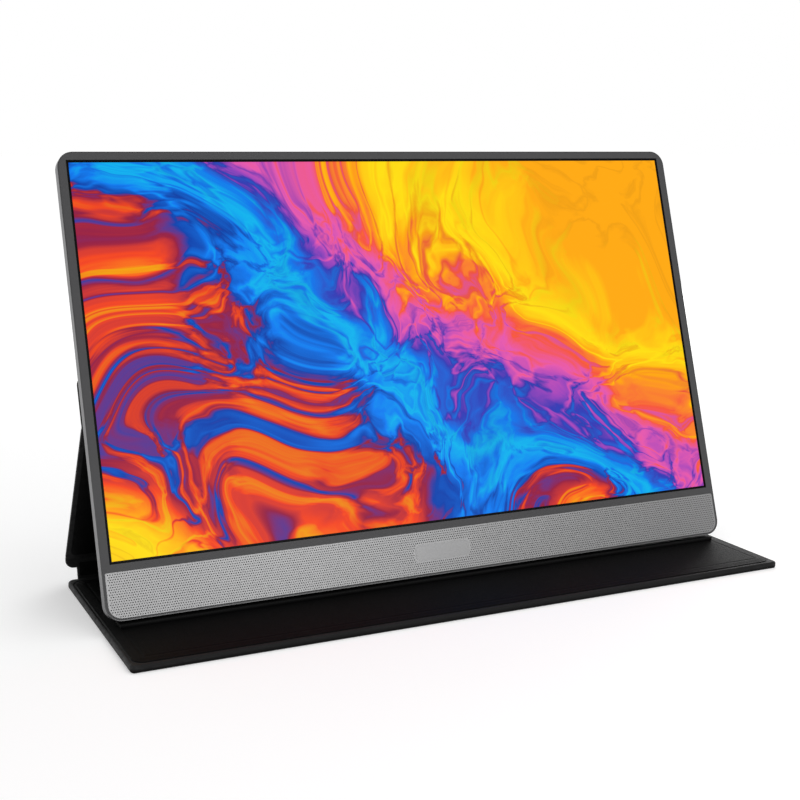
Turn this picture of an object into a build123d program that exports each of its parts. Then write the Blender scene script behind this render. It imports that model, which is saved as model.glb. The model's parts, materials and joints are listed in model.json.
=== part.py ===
from build123d import *
from math import atan2, cos, degrees, hypot, radians, sin
import os

# Portable monitor standing on its folding cover, in millimetres.
# X runs to the viewer's right, Y away from the viewer and Z up. The origin is the
# centre of the cover's base, on the surface that the base lies on.
# Monitor pieces are drawn flat first: X across, Y up the screen, and depth measured
# backwards from the front face, which is -Z. monitor_place() then leans them back.

# Picture and front
picture_width = 344.16
picture_height = 193.59
mask_line = 0.9
side_bezel = 4.7
top_bezel = 4.45
lower_bezel = 4.0
chin_height = 23.15
corner_radius = 8.0
window_radius = 0.6

# Casing
monitor_depth = 7.6
side_wall = 1.3
back_wall = 1.0
back_edge_round = 1.8
rim_lip = 0.4
overcut = 1.0
round_margin = 0.01
bezel_gap = 0.08
bezel_thickness = 1.2

# Standing pose
monitor_tilt = 17.57
monitor_setback = 48.7

# Speaker grille and its bare badge place
grille_side_inset = 1.3
grille_bottom_inset = 0.9
grille_seat_depth = 0.65
grille_proud = 0.15
grille_top_radius = 0.8
grille_bevel = 0.35
grille_gap = 0.05
badge_width = 31.0
badge_height = 8.0
badge_radius = 2.4
badge_seat = 0.3
badge_proud = 0.05
badge_rise = 12.0

# Screen stack, from the front
glass_gap = 0.15
film_recess = 0.35
film_thickness = 0.15
glass_thickness = 0.9
prism_thickness = 0.2
diffuser_thickness = 0.2
guide_thickness = 0.8
reflector_thickness = 0.15
stack_inset = 0.4
chassis_floor = 0.3
chassis_wall = 2.2
chassis_corner_gap = 1.2
adhesive_thickness = 0.15
adhesive_width = 1.6
led_zone = 2.6
led_strip_height = 2.0
led_strip_thickness = 0.15
led_length = 3.0
led_height = 0.9
led_thickness = 0.6
led_count = 40

# Boards and flat cables
driver_board_width = 170.0
driver_board_height = 11.0
driver_board_thickness = 0.6
driver_board_centre = -40.0
driver_board_rise = 2.85
flex_width = 24.0
flex_count = 4
flex_pitch = 45.0
flex_thickness = 0.1
flex_lap = 2.0
flex_clearance = 0.1
main_board_width = 111.4
main_board_height = 56.0
main_board_thickness = 0.8
main_board_edge_gap = 1.0
main_board_low = 28.0
standoff_radius = 2.2
standoff_inset_x = 8.0
standoff_outer_inset_x = 15.4
standoff_inset_v = 5.0
pilot_radius = 0.85
board_hole_radius = 1.1
board_screw_head_radius = 1.7
board_screw_head_height = 0.5
board_screw_tip_gap = 0.4
board_corner = 0.5
screw_shank_radius = 0.8
ribbon_height = 4.5
ribbon_rise = 36.0
ribbon_lap = 8.0
ribbon_gap = 0.02
spreader_width = 34.0
spreader_height = 26.0
spreader_thickness = 0.3
processor_x = 42.0
processor_rise = 28.0
processor_size = 14.0
memory_x = 64.0
memory_rise = 36.0
memory_width = 8.0
memory_height = 6.0
socket_chip_x = 87.0
socket_chip_low = 16.0
socket_chip_high = 26.0
socket_chip_size = 5.0
power_chip_x = 70.0
power_chip_rise = 10.0
power_chip_size = 4.0
cable_chip_x = 24.0
cable_chip_width = 7.0
cable_chip_height = 5.0
clock_chip_rise = 44.0
clock_chip_size = 6.0
chip_height = 0.9

# Sockets on the right side
port_depth_from_front = 4.85
port_recess = 0.3
port_clearance = 0.12
port_wall = 0.3
port_body_depth = 7.5
port_back_wall = 1.0
usb_width = 8.94
usb_height = 3.2
usb_rises = (38.0, 54.0)
usb_tongue_width = 6.69
usb_tongue_thickness = 0.7
hdmi_width = 11.2
hdmi_height = 3.2
hdmi_radius = 0.8
hdmi_rise = 72.0
hdmi_tongue_width = 8.2
hdmi_tongue_thickness = 0.8
tongue_setback = 1.0
jack_bore_radius = 1.8
jack_collar_wall = 0.4
jack_clearance = 0.1
jack_rise = 12.0
jack_body_length = 11.5
jack_body_width = 6.0
jack_body_height = 4.7
jack_bore_depth = 10.5
jack_recess = 0.2
jack_board_gap = 0.1
audio_board_thickness = 0.5
audio_board_margin = 1.0

# Buttons on the right side
button_depth_from_front = 4.45
button_width = 1.8
button_clearance = 0.25
button_proud = 0.35
button_flange_thickness = 0.9
button_flange_gap = 0.3
button_flange_margin = 0.2
button_flange_radius = 0.4
light_rise = 112.0
light_radius = 0.6
light_clearance = 0.1
light_recess = 0.05
power_below_light = 12.0
power_rise = light_rise - power_below_light
power_length = 9.0
power_flange_overlap = 0.8
rocker_above_light = 13.0
rocker_rise = light_rise + rocker_above_light
rocker_length = 12.0
rocker_end_clearance = 0.4
rocker_cap_thickness = 2.4
rocker_web_length = 3.0
rocker_web_height = 1.4
rocker_web_reach = 1.4
rocker_pivot_setback = 0.7
rocker_pin_radius = 0.5
rocker_pin_fit = 0.05
rocker_boss_radius = 1.5
rocker_boss_gap = 0.3
button_board_thickness = 0.8
button_board_gap = 5.0
button_board_margin = 9.0
button_board_height = 2.4
switch_length = 4.0
switch_height = 2.6
switch_body = 2.2
switch_plunger_radius = 0.8
switch_gap = 0.7
rocker_switch_gap = 0.6
rocker_switch_offset = 4.5

# Speakers behind the grille
speaker_side_gap = 62.68
speaker_length = 50.0
speaker_height = 12.5
speaker_low = 7.0
speaker_depth = 3.8
speaker_corner = 1.5
gasket_thickness = 0.4
sound_opening_length = 40.0
sound_opening_height = 8.0
gasket_border = 2.0
cone_length = 40.6
cone_height = 8.6
cone_thickness = 0.3
cone_dome_length = 22.0
cone_dome_height = 4.8
cone_dome_rise = 0.3
cone_seat_depth = 0.7
cone_fit = 0.2
cone_ledge = 1.3
speaker_pocket_depth = 2.2
speaker_magnet_length = 27.9
speaker_magnet_height = 5.5
speaker_magnet_depth = 2.6
speaker_magnet_gap = 0.05
speaker_magnet_proud = 0.4
lead_radius = 0.5
lead_bend = 1.2
lead_depth_from_front = 4.85
lead_rise = 22.3
left_lead_offset = 20.0
right_lead_offset = 10.0
left_lead_landing = 12.0
right_lead_landing = 85.4

# Case screws along the bottom
case_screw_count = 6
case_screw_pitch = 60.0
case_screw_rise = 4.6
case_boss_radius = 2.0
case_pad_radius = 3.0
case_pad_height = 0.8
case_pad_gap = 0.05
case_head_radius = 1.6
case_head_height = 0.75
case_head_setback = 0.05
case_head_clearance = 0.2
case_shank_length = 4.4
case_thread_end = 0.6

# Cover: base leaf
base_overhang = 1.1
base_depth = 134.0
base_sheet = 0.8
base_board_thickness = 2.0
base_front_corner = 1.4
base_back_corner = 4.5
base_edge_round = 1.1
base_wrap = 1.0
base_hem = 9.0
base_liner_thickness = 0.5
base_liner_side_inset = 2.2
base_liner_front_inset = 3.0
base_liner_back_inset = 5.0
base_liner_corner = 6.0
base_liner_round = 0.3
base_magnet_count = 8
base_magnet_front = 14.0

# Cover: hinged leaves
leaf_sheet = 0.4
leaf_board_thickness = 0.8
leaf_liner_thickness = 0.3
leaf_wrap = 0.6
leaf_hem = 7.0
leaf_liner_inset = 2.2
leaf_edge_round = 0.4
leaf_square_corner = 0.9
spine_hem = 1.8
spine_liner_inset = 1.2
spine_side_gap = 6.78
spine_ear_length = 4.9
spine_ear_corner = 4.0
spine_length = 11.9
spine_lean = 8.5
base_to_fold = 4.7
fold_web_thickness = 1.0
fold_bead_radius = 0.9
fold_gap = 0.3
floor_gap = 0.1
crease_rise = 93.5
cover_gap = 0.3
upper_panel_length = 24.5
upper_corner = 4.0
panel_overhang = 0.02

# Magnets of the cover and the steel that they hold
magnet_length = 20.0
magnet_width = 8.0
magnet_pair_offset = 15.0
upper_magnet_rise = 12.0
keeper_length = 60.0
keeper_height = 12.0
keeper_thickness = 0.4
keeper_side_gap = 47.68
keeper_inner_offset = 50.0

# Stop strip that the monitor stands in
strip_side_gap = 7.28
strip_seat = 1.15
strip_lip = 0.7
strip_front = 1.4
strip_lip_width = 3.2
strip_back = 10.0
strip_round = 0.5
seat_gap = 0.3

# Sizes that follow
window_width = picture_width + 2 * mask_line
window_height = picture_height + 2 * mask_line
window_low = chin_height + lower_bezel
monitor_width = window_width + 2 * side_bezel
monitor_height = window_low + window_height + top_bezel
side_x = monitor_width / 2
base_width = monitor_width + 2 * base_overhang
panel_width = monitor_width + 2 * panel_overhang
spine_width = base_width - 2 * spine_side_gap
strip_length = base_width - 2 * strip_side_gap
speaker_offset = side_x - speaker_side_gap
keeper_outer_offset = side_x - keeper_side_gap
keeper_offsets = (-keeper_outer_offset, -keeper_inner_offset, keeper_inner_offset, keeper_outer_offset)
cavity_depth = monitor_depth - back_wall
glass_width = window_width - 2 * glass_gap
glass_height = window_height - 2 * glass_gap
glass_low = window_low + glass_gap
film_back = film_recess + film_thickness
glass_back = film_back + glass_thickness
prism_back = glass_back + prism_thickness
diffuser_back = prism_back + diffuser_thickness
guide_back = diffuser_back + guide_thickness
reflector_back = guide_back + reflector_thickness
chassis_back = reflector_back + chassis_floor
chassis_front = bezel_thickness + adhesive_thickness
chassis_low = window_low - chassis_wall
chassis_corner = corner_radius - side_wall - chassis_corner_gap
driver_board_low = window_low + driver_board_rise
driver_board_back = chassis_back + driver_board_thickness
driver_board_right = driver_board_centre + driver_board_width / 2
main_board_front = port_depth_from_front - main_board_thickness / 2
main_board_back = port_depth_from_front + main_board_thickness / 2
main_board_right = side_x - side_wall - main_board_edge_gap
main_board_left = main_board_right - main_board_width
inner_wall_x = side_x - side_wall
button_board_x = inner_wall_x - button_board_gap
rocker_back_x = side_x + button_proud - rocker_cap_thickness
rocker_pivot_x = rocker_back_x - rocker_pivot_setback
power_flange_x = inner_wall_x - button_flange_gap
speaker_front = bezel_thickness + gasket_thickness
speaker_rise = speaker_low + speaker_height / 2
base_height = 2 * base_sheet + base_board_thickness
base_top = base_height + base_liner_thickness
leaf_height = 2 * leaf_sheet + leaf_board_thickness
leaf_total = leaf_height + leaf_liner_thickness
tilt = radians(monitor_tilt)

# The casing's lowest point is on the round of its back lower edge.
round_centre_depth = monitor_depth - back_edge_round
lowest_drop = round_centre_depth * sin(tilt) + back_edge_round * (1 - cos(tilt))
monitor_y = monitor_setback - base_depth / 2
monitor_z = base_top + strip_seat + seat_gap + lowest_drop

# Fold lines of the cover, in the side view, from the base up to the crease
base_back_y = base_depth / 2
lean = radians(spine_lean)
fold_1 = (base_back_y + base_to_fold, leaf_total / 2 + floor_gap)
fold_2 = (fold_1[0] + spine_length * sin(lean), fold_1[1] + spine_length * cos(lean))
crease_depth = monitor_depth + cover_gap + leaf_total / 2
fold_3 = (
    monitor_y + crease_rise * sin(tilt) + crease_depth * cos(tilt),
    monitor_z + crease_rise * cos(tilt) - crease_depth * sin(tilt),
)
lower_panel_length = hypot(fold_3[0] - fold_2[0], fold_3[1] - fold_2[1])
lower_panel_angle = degrees(atan2(fold_3[1] - fold_2[1], fold_3[0] - fold_2[0]))
leaf_start = fold_bead_radius + fold_gap


# Placing and drawing helpers


def monitor_place(shape):
    """Leans a piece that was drawn flat back to the monitor's standing pose."""
    return Pos(0, monitor_y, monitor_z) * Rot(90 - monitor_tilt, 0, 0) * shape


def leaf_place(fold, angle, shape):
    """Turns a leaf that was drawn flat about its fold line, angle up from level."""
    return Pos(0, fold[0], fold[1]) * Rot(angle, 0, 0) * shape


def plate(width, height, radius, front, back, x=0.0, low=0.0):
    """A plate with round corners, between two depths, its lower edge at height low."""
    outline = RectangleRounded(width, height, radius) if radius else Rectangle(width, height)
    return Pos(x, low + height / 2, -back) * extrude(outline, back - front)


def rod(radius, front, back, x, v):
    """A round bar that runs in depth."""
    return Pos(x, v, -(front + back) / 2) * Cylinder(radius, back - front)


def side_bar(length, height, radius, v, depth, x_from, x_to):
    """A bar with a rounded section that runs across, as a socket or a button does."""
    outline = RectangleRounded(length, height, radius) if radius else Rectangle(length, height)
    return Pos(x_from, 0, 0) * extrude(Plane.YZ * Pos(v, -depth) * outline, x_to - x_from)


def side_rod(radius, v, depth, x_from, x_to):
    """A round bar that runs across."""
    return Pos(x_from, 0, 0) * extrude(Plane.YZ * Pos(v, -depth) * Circle(radius), x_to - x_from)


def group(pieces):
    """Several separate solids that share one node."""
    solids = []
    for piece in pieces:
        solids.extend(piece.solids())
    return Compound(children=solids)


def save(name, shape):
    export_step(shape, "parts/" + name + ".step")


# Where repeated things go


def case_screw_places():
    first = -case_screw_pitch * (case_screw_count - 1) / 2
    return [first + case_screw_pitch * i for i in range(case_screw_count)]


def board_screw_places():
    xs = (main_board_left + standoff_inset_x, main_board_right - standoff_outer_inset_x)
    low = main_board_low + standoff_inset_v
    high = main_board_low + main_board_height - standoff_inset_v
    return [(x, v) for x in xs for v in (low, high)]


def magnet_places():
    return [x + side * magnet_pair_offset for x in keeper_offsets for side in (-1, 1)]


# Monitor: casing


def grille_outline(grow=0.0):
    """The grille's outline: round lower corners that follow the casing, tight upper ones."""
    width = monitor_width - 2 * grille_side_inset + 2 * grow
    height = chin_height - grille_bottom_inset + 2 * grow
    outline = Pos(0, grille_bottom_inset - grow + height / 2) * Rectangle(width, height)
    outline = fillet(outline.vertices().sort_by(Axis.Y)[:2], corner_radius - grille_side_inset + grow)
    return fillet(outline.vertices().sort_by(Axis.Y)[-2:], grille_top_radius)


def front_bezel():
    edge = rim_lip + bezel_gap
    width = monitor_width - 2 * edge
    height = monitor_height - 2 * edge
    body = plate(width, height, corner_radius - edge, 0, bezel_thickness, low=edge)
    body -= plate(window_width, window_height, window_radius, -overcut, bezel_thickness + overcut,
                  low=window_low)
    body -= Pos(0, 0, -grille_seat_depth) * extrude(grille_outline(grille_gap), grille_seat_depth + overcut)
    for side in (-1, 1):
        low = speaker_rise - sound_opening_height / 2
        body -= plate(sound_opening_length, sound_opening_height, sound_opening_height / 2 - round_margin,
                      0, bezel_thickness + overcut, side * speaker_offset, low)
    boss_end = cavity_depth - case_pad_height - case_pad_gap
    for x in case_screw_places():
        body += rod(case_boss_radius, bezel_thickness, boss_end, x, case_screw_rise)
        body -= rod(pilot_radius, bezel_thickness + case_thread_end, boss_end + overcut, x, case_screw_rise)
    return body


def socket_openings():
    """The holes in the right side wall for sockets, buttons and the light."""
    x_from = inner_wall_x - overcut
    x_to = side_x + overcut
    ports = [(rise, usb_width, usb_height, usb_height / 2) for rise in usb_rises]
    ports.append((hdmi_rise, hdmi_width, hdmi_height, hdmi_radius))
    holes = []
    for rise, width, height, radius in ports:
        grow = 2 * port_clearance
        holes.append(side_bar(width + grow, height + grow, radius + port_clearance - round_margin,
                              rise, port_depth_from_front, x_from, x_to))
    jack_hole = jack_bore_radius + jack_collar_wall + jack_clearance
    holes.append(side_rod(jack_hole, jack_rise, jack_depth(), x_from, x_to))
    slot = button_width + 2 * button_clearance
    for rise, length in ((power_rise, power_length + 2 * button_clearance),
                         (rocker_rise, rocker_length + 2 * rocker_end_clearance)):
        holes.append(side_bar(length, slot, slot / 2 - round_margin, rise, button_depth_from_front,
                              x_from, x_to))
    light_hole = light_radius + light_clearance
    holes.append(side_rod(light_hole, light_rise, button_depth_from_front, x_from, x_to))
    return holes


def rear_cover():
    body = plate(monitor_width, monitor_height, corner_radius, 0, monitor_depth)
    body = fillet(body.faces().sort_by(Axis.Z)[0].edges(), back_edge_round)
    for inset, front, back in ((rim_lip, -overcut, bezel_thickness), (side_wall, 0, cavity_depth)):
        body -= plate(monitor_width - 2 * inset, monitor_height - 2 * inset, corner_radius - inset,
                      front, back, low=inset)
    for x in case_screw_places():
        body += rod(case_pad_radius, cavity_depth - case_pad_height, cavity_depth + back_wall / 2,
                    x, case_screw_rise)
        head_seat = monitor_depth - case_head_setback - case_head_height
        body -= rod(case_head_radius + case_head_clearance, head_seat, monitor_depth + overcut, x,
                    case_screw_rise)
        body -= rod(pilot_radius + case_head_clearance, 0, monitor_depth, x, case_screw_rise)
    for x, v in board_screw_places():
        body += rod(standoff_radius, main_board_back, cavity_depth + back_wall / 2, x, v)
        body -= rod(pilot_radius, main_board_back - overcut, cavity_depth, x, v)
    boss_top = button_depth_from_front + rocker_web_height / 2 + rocker_boss_gap
    body += rod(rocker_boss_radius, boss_top, cavity_depth + back_wall / 2, rocker_pivot_x, rocker_rise)
    pin_hole = rocker_pin_radius + rocker_pin_fit
    body -= rod(pin_hole, boss_top - overcut, cavity_depth, rocker_pivot_x, rocker_rise)
    for hole in socket_openings():
        body -= hole
    return body


def speaker_grille():
    depth = grille_seat_depth + grille_proud
    body = Pos(0, 0, -grille_seat_depth) * extrude(grille_outline(), depth)
    body = chamfer(body.faces().sort_by(Axis.Z)[-1].edges(), grille_bevel)
    low = badge_rise - badge_height / 2
    grow = grille_gap
    return body - plate(badge_width + 2 * grow, badge_height + 2 * grow, badge_radius + grow,
                        -grille_proud - overcut, badge_seat - grille_proud, low=low - grow)


def badge_plate():
    low = badge_rise - badge_height / 2
    front = -grille_proud - badge_proud
    return plate(badge_width, badge_height, badge_radius, front, badge_seat - grille_proud, low=low)


def case_screws():
    head_seat = monitor_depth - case_head_setback - case_head_height
    screws = []
    for x in case_screw_places():
        head = rod(case_head_radius, head_seat, head_seat + case_head_height, x, case_screw_rise)
        shank = rod(screw_shank_radius, head_seat - case_shank_length, head_seat, x, case_screw_rise)
        screws.append(head + shank)
    return group(screws)


# Monitor: screen stack


def stack_sheet(front, back, low_extra=0.0):
    """A sheet of the screen stack, low_extra shorter at its lower edge."""
    width = glass_width - 2 * stack_inset
    height = glass_height - 2 * stack_inset - low_extra
    return plate(width, height, 0, front, back, low=glass_low + stack_inset + low_extra)


def led_bar():
    low = glass_low + stack_inset
    strip_back = diffuser_back + led_strip_thickness
    pieces = [plate(led_pitch() * led_count, led_strip_height, 0, diffuser_back, strip_back, low=low)]
    for i in range(led_count):
        x = led_pitch() * (i - (led_count - 1) / 2)
        top = low + led_strip_height - led_height
        pieces.append(plate(led_length, led_height, 0, strip_back, strip_back + led_thickness, x, top))
    return group(pieces)


def led_pitch():
    return (glass_width - 4 * stack_inset) / led_count


def panel_chassis():
    width = window_width + 2 * chassis_wall
    height = window_height + 2 * chassis_wall
    tray = plate(width, height, chassis_corner, chassis_front, chassis_back, low=chassis_low)
    return tray - plate(window_width, window_height, 0, 0, reflector_back, low=window_low)


def panel_adhesive():
    """Tape strips at both sides and the top, between the bezel and the chassis."""
    inset = (chassis_wall - adhesive_width) / 2
    side = window_width / 2 + inset + adhesive_width / 2
    upright = window_height - 2 * chassis_wall
    strips = [plate(adhesive_width, upright, 0, bezel_thickness, chassis_front, x, window_low + chassis_wall)
              for x in (-side, side)]
    top = window_low + window_height + inset
    across = window_width - 4 * chassis_wall
    strips.append(plate(across, adhesive_width, 0, bezel_thickness, chassis_front, low=top))
    return group(strips)


def driver_board():
    return plate(driver_board_width, driver_board_height, board_corner, chassis_back, driver_board_back,
                 driver_board_centre, driver_board_low)


def display_flex():
    """Foil connectors that wrap from the glass round the chassis to the driver board."""
    front = bezel_thickness + (adhesive_thickness - flex_thickness) / 2
    low = chassis_low - flex_thickness - flex_clearance
    strips = []
    for i in range(flex_count):
        x = driver_board_centre + flex_pitch * (i - (flex_count - 1) / 2)
        leg_front = plate(flex_width, window_low - low, 0, front, front + flex_thickness, x, low)
        wrap = plate(flex_width, flex_thickness, 0, front, driver_board_back + flex_thickness, x, low)
        reach = driver_board_low + flex_lap - low
        leg_back = plate(flex_width, reach, 0, driver_board_back, driver_board_back + flex_thickness, x, low)
        strips.append(leg_front + wrap + leg_back)
    return group(strips)


# Monitor: main board and sockets


def main_board():
    body = plate(main_board_width, main_board_height, board_corner, main_board_front, main_board_back,
                 (main_board_left + main_board_right) / 2, main_board_low)
    for x, v in board_screw_places():
        body -= rod(board_hole_radius, 0, monitor_depth, x, v)
    back_x = side_x - port_recess - port_body_depth - port_clearance
    for rise, width in [(rise, usb_width) for rise in usb_rises] + [(hdmi_rise, hdmi_width)]:
        body -= side_bar(width + 2 * port_clearance, usb_height, 0, rise, port_depth_from_front,
                         back_x, side_x)
    return body


def board_chips():
    """Packages on the back of the main board: offset from its left, height above its lower edge, size."""
    chips = ((processor_x, processor_rise, processor_size, processor_size),
             (memory_x, memory_rise, memory_width, memory_height),
             (socket_chip_x, socket_chip_low, socket_chip_size, socket_chip_size),
             (socket_chip_x, socket_chip_high, socket_chip_size, socket_chip_size),
             (power_chip_x, power_chip_rise, power_chip_size, power_chip_size),
             (cable_chip_x, processor_rise, cable_chip_width, cable_chip_height),
             (cable_chip_x, clock_chip_rise, clock_chip_size, clock_chip_size))
    pieces = []
    for x, v, width, height in chips:
        pieces.append(plate(width, height, 0, main_board_back, main_board_back + chip_height,
                            main_board_left + x, main_board_low + v - height / 2))
    return group(pieces)


def heat_spreader():
    front = main_board_back + chip_height
    low = main_board_low + processor_rise - spreader_height / 2
    return plate(spreader_width, spreader_height, board_corner, front, front + spreader_thickness,
                 main_board_left + processor_x, low)


def board_screws():
    screws = []
    for x, v in board_screw_places():
        head_top = main_board_front - board_screw_head_height
        head = rod(board_screw_head_radius, head_top, main_board_front, x, v)
        shank = rod(screw_shank_radius, main_board_front, cavity_depth - board_screw_tip_gap, x, v)
        screws.append(head + shank)
    return group(screws)


def display_cable():
    """Flat cable from the driver board to the main board."""
    step_x = (driver_board_right + main_board_left) / 2
    first = driver_board_back + ribbon_gap
    second = main_board_back + ribbon_gap + flex_thickness
    leg_1_width = step_x - driver_board_right + ribbon_lap
    leg_2_width = main_board_left + ribbon_lap - step_x
    leg_1 = plate(leg_1_width, ribbon_height, 0, first, first + flex_thickness,
                  step_x - leg_1_width / 2, ribbon_rise)
    riser = plate(flex_thickness, ribbon_height, 0, first, second, step_x, ribbon_rise)
    leg_2 = plate(leg_2_width, ribbon_height, 0, second - flex_thickness, second,
                  step_x + leg_2_width / 2, ribbon_rise)
    return leg_1 + riser + leg_2


def socket(rise, width, height, radius, tongue_width, tongue_thickness):
    """A metal-shelled socket whose mouth faces the right, with its contact tongue."""
    mouth = side_x - port_recess
    back = mouth - port_body_depth
    depth = port_depth_from_front
    shell = side_bar(width, height, radius - round_margin, rise, depth, back, mouth)
    shell -= side_bar(width - 2 * port_wall, height - 2 * port_wall, radius - port_wall - round_margin,
                      rise, depth, back + port_back_wall, mouth + overcut)
    return shell + side_bar(tongue_width, tongue_thickness, 0, rise, depth, back + port_back_wall / 2,
                            mouth - tongue_setback)


def usb_c_ports():
    return group([socket(rise, usb_width, usb_height, usb_height / 2, usb_tongue_width,
                         usb_tongue_thickness) for rise in usb_rises])


def mini_hdmi_port():
    return socket(hdmi_rise, hdmi_width, hdmi_height, hdmi_radius, hdmi_tongue_width, hdmi_tongue_thickness)


def jack_depth():
    """How far the headphone socket's axis lies behind the front face."""
    return cavity_depth - jack_board_gap - audio_board_thickness - jack_body_height / 2


def audio_jack():
    body_x = inner_wall_x - jack_clearance
    mouth = side_x - jack_recess
    body = side_bar(jack_body_width, jack_body_height, 0, jack_rise, jack_depth(),
                    body_x - jack_body_length, body_x)
    body += side_rod(jack_bore_radius + jack_collar_wall, jack_rise, jack_depth(), body_x, mouth)
    bore_end = mouth - jack_bore_depth
    return body - side_rod(jack_bore_radius, jack_rise, jack_depth(), bore_end, mouth + overcut)


def audio_board():
    front = jack_depth() + jack_body_height / 2
    width = jack_body_length + 2 * audio_board_margin
    height = jack_body_width + 2 * audio_board_margin
    x = inner_wall_x - jack_clearance - width / 2
    return plate(width, height, board_corner, front, front + audio_board_thickness, x, jack_rise - height / 2)


# Monitor: buttons


def power_button():
    depth = button_depth_from_front
    back = power_flange_x - button_flange_thickness
    cap = side_bar(power_length, button_width, button_width / 2 - round_margin, power_rise, depth,
                   back, side_x + button_proud)
    flange = side_bar(power_length + 2 * power_flange_overlap, button_width + 2 * button_flange_margin,
                      button_flange_radius, power_rise, depth, back, power_flange_x)
    return cap + flange


def menu_rocker():
    depth = button_depth_from_front
    cap = side_bar(rocker_length, button_width, button_width / 2 - round_margin, rocker_rise, depth,
                   rocker_back_x, side_x + button_proud)
    web = side_bar(rocker_web_length, rocker_web_height, 0, rocker_rise, depth,
                   rocker_back_x - rocker_web_reach, rocker_back_x)
    hole = rod(rocker_pin_radius + rocker_pin_fit, 0, monitor_depth, rocker_pivot_x, rocker_rise)
    return cap + (web - hole)


def rocker_pin():
    front = button_depth_from_front - rocker_web_height / 2 - rocker_boss_gap
    return rod(rocker_pin_radius, front, cavity_depth - rocker_pin_fit, rocker_pivot_x, rocker_rise)


def button_board():
    low = power_rise - button_board_margin
    high = rocker_rise + button_board_margin
    return side_bar(high - low, button_board_height, 0, (low + high) / 2, button_depth_from_front,
                    button_board_x, button_board_x + button_board_thickness)


def tact_switches():
    face = button_board_x + button_board_thickness
    rocker_tip = rocker_back_x - rocker_switch_gap
    power_tip = power_flange_x - button_flange_thickness - switch_gap
    places = ((power_rise, power_tip), (rocker_rise - rocker_switch_offset, rocker_tip),
              (rocker_rise + rocker_switch_offset, rocker_tip))
    pieces = []
    for rise, tip in places:
        body = side_bar(switch_length, switch_height, 0, rise, button_depth_from_front,
                        face, face + switch_body)
        plunger = side_rod(switch_plunger_radius, rise, button_depth_from_front, face + switch_body, tip)
        pieces.append(body + plunger)
    return group(pieces)


def status_light():
    start = button_board_x + button_board_thickness
    return side_rod(light_radius, light_rise, button_depth_from_front, start, side_x - light_recess)


# Monitor: speakers


def racetrack(length, height, front, back, x):
    return plate(length, height, height / 2 - round_margin, front, back, x, speaker_rise - height / 2)


def speaker_frame(x):
    back = speaker_front + speaker_depth
    body = plate(speaker_length, speaker_height, speaker_corner, speaker_front, back, x, speaker_low)
    body -= racetrack(cone_length + cone_fit, cone_height + cone_fit, 0, speaker_front + cone_seat_depth, x)
    body -= racetrack(cone_length - 2 * cone_ledge, cone_height - cone_ledge, 0,
                      speaker_front + speaker_pocket_depth, x)
    length = speaker_magnet_length + 2 * speaker_magnet_gap
    height = speaker_magnet_height + 2 * speaker_magnet_gap
    return body - plate(length, height, 0, 0, back + overcut, x, speaker_rise - height / 2)


def speaker_cone(x):
    seat = speaker_front + cone_seat_depth
    rim = racetrack(cone_length, cone_height, seat - cone_thickness, seat, x)
    dome = racetrack(cone_dome_length, cone_dome_height, seat - cone_thickness - cone_dome_rise, seat, x)
    return rim + dome


def speaker_magnet(x):
    back = speaker_front + speaker_depth + speaker_magnet_proud
    low = speaker_rise - speaker_magnet_height / 2
    return plate(speaker_magnet_length, speaker_magnet_height, 0, back - speaker_magnet_depth, back, x, low)


def speaker_gaskets():
    rings = []
    for side in (-1, 1):
        x = side * speaker_offset
        outer = racetrack(sound_opening_length + 2 * gasket_border, sound_opening_height + 2 * gasket_border,
                          bezel_thickness, speaker_front, x)
        rings.append(outer - racetrack(sound_opening_length, sound_opening_height, 0, monitor_depth, x))
    return group(rings)


def speaker_lead(start_x, end_x):
    """A wire from a speaker's upper edge to the lower edge of the main board."""
    depth = -lead_depth_from_front
    points = [(start_x, speaker_low + speaker_height, depth), (start_x, lead_rise, depth),
              (end_x, lead_rise, depth), (end_x, main_board_low, depth)]
    path = FilletPolyline(*points, radius=lead_bend)
    section = Plane(origin=path @ 0, z_dir=path % 0) * Circle(lead_radius)
    return sweep(section, path=path)


def magnet_keepers():
    low = crease_rise + upper_magnet_rise - keeper_height / 2
    front = cavity_depth - keeper_thickness
    return group([plate(keeper_length, keeper_height, board_corner, front, cavity_depth, x, low)
                  for x in keeper_offsets])


# Cover


def leaf_outline(width, start, end, low_radius, high_radius):
    """A leaf's outline from start to end along the cover, with its own corner radii."""
    outline = Pos(0, (start + end) / 2) * Rectangle(width, end - start)
    outline = fillet(outline.vertices().sort_by(Axis.Y)[:2], low_radius)
    return fillet(outline.vertices().sort_by(Axis.Y)[-2:], high_radius)


def leaf_board(width, start, end, sheet, board, wrap, end_corner):
    """A leaf's board, rounded where the leaf's own end corners are, so the wrap stays even round it."""
    middle = (start + end) / 2
    body = Pos(0, middle, sheet + board / 2) * Box(width - 2 * wrap, end - start, board)
    upright_edges = body.edges().filter_by(Axis.Z)
    return fillet(upright_edges.sort_by(Axis.Y)[-2:], end_corner - wrap)


def leather_skin(outline, width, start, end, sheet, board, hem, edge_round, pocket):
    """Outer leather wrapped round a board in its pocket: sheet below, turned hem above."""
    height = 2 * sheet + board
    body = extrude(outline, height)
    body = fillet(body.faces().sort_by(Axis.Z)[-1].edges(), edge_round)
    body = fillet(body.faces().sort_by(Axis.Z)[0].edges(), edge_round)
    body -= pocket
    middle = (start + end) / 2
    return body - Pos(0, middle, height) * Box(width - 2 * hem, end - start - 2 * hem, 2 * sheet)


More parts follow.
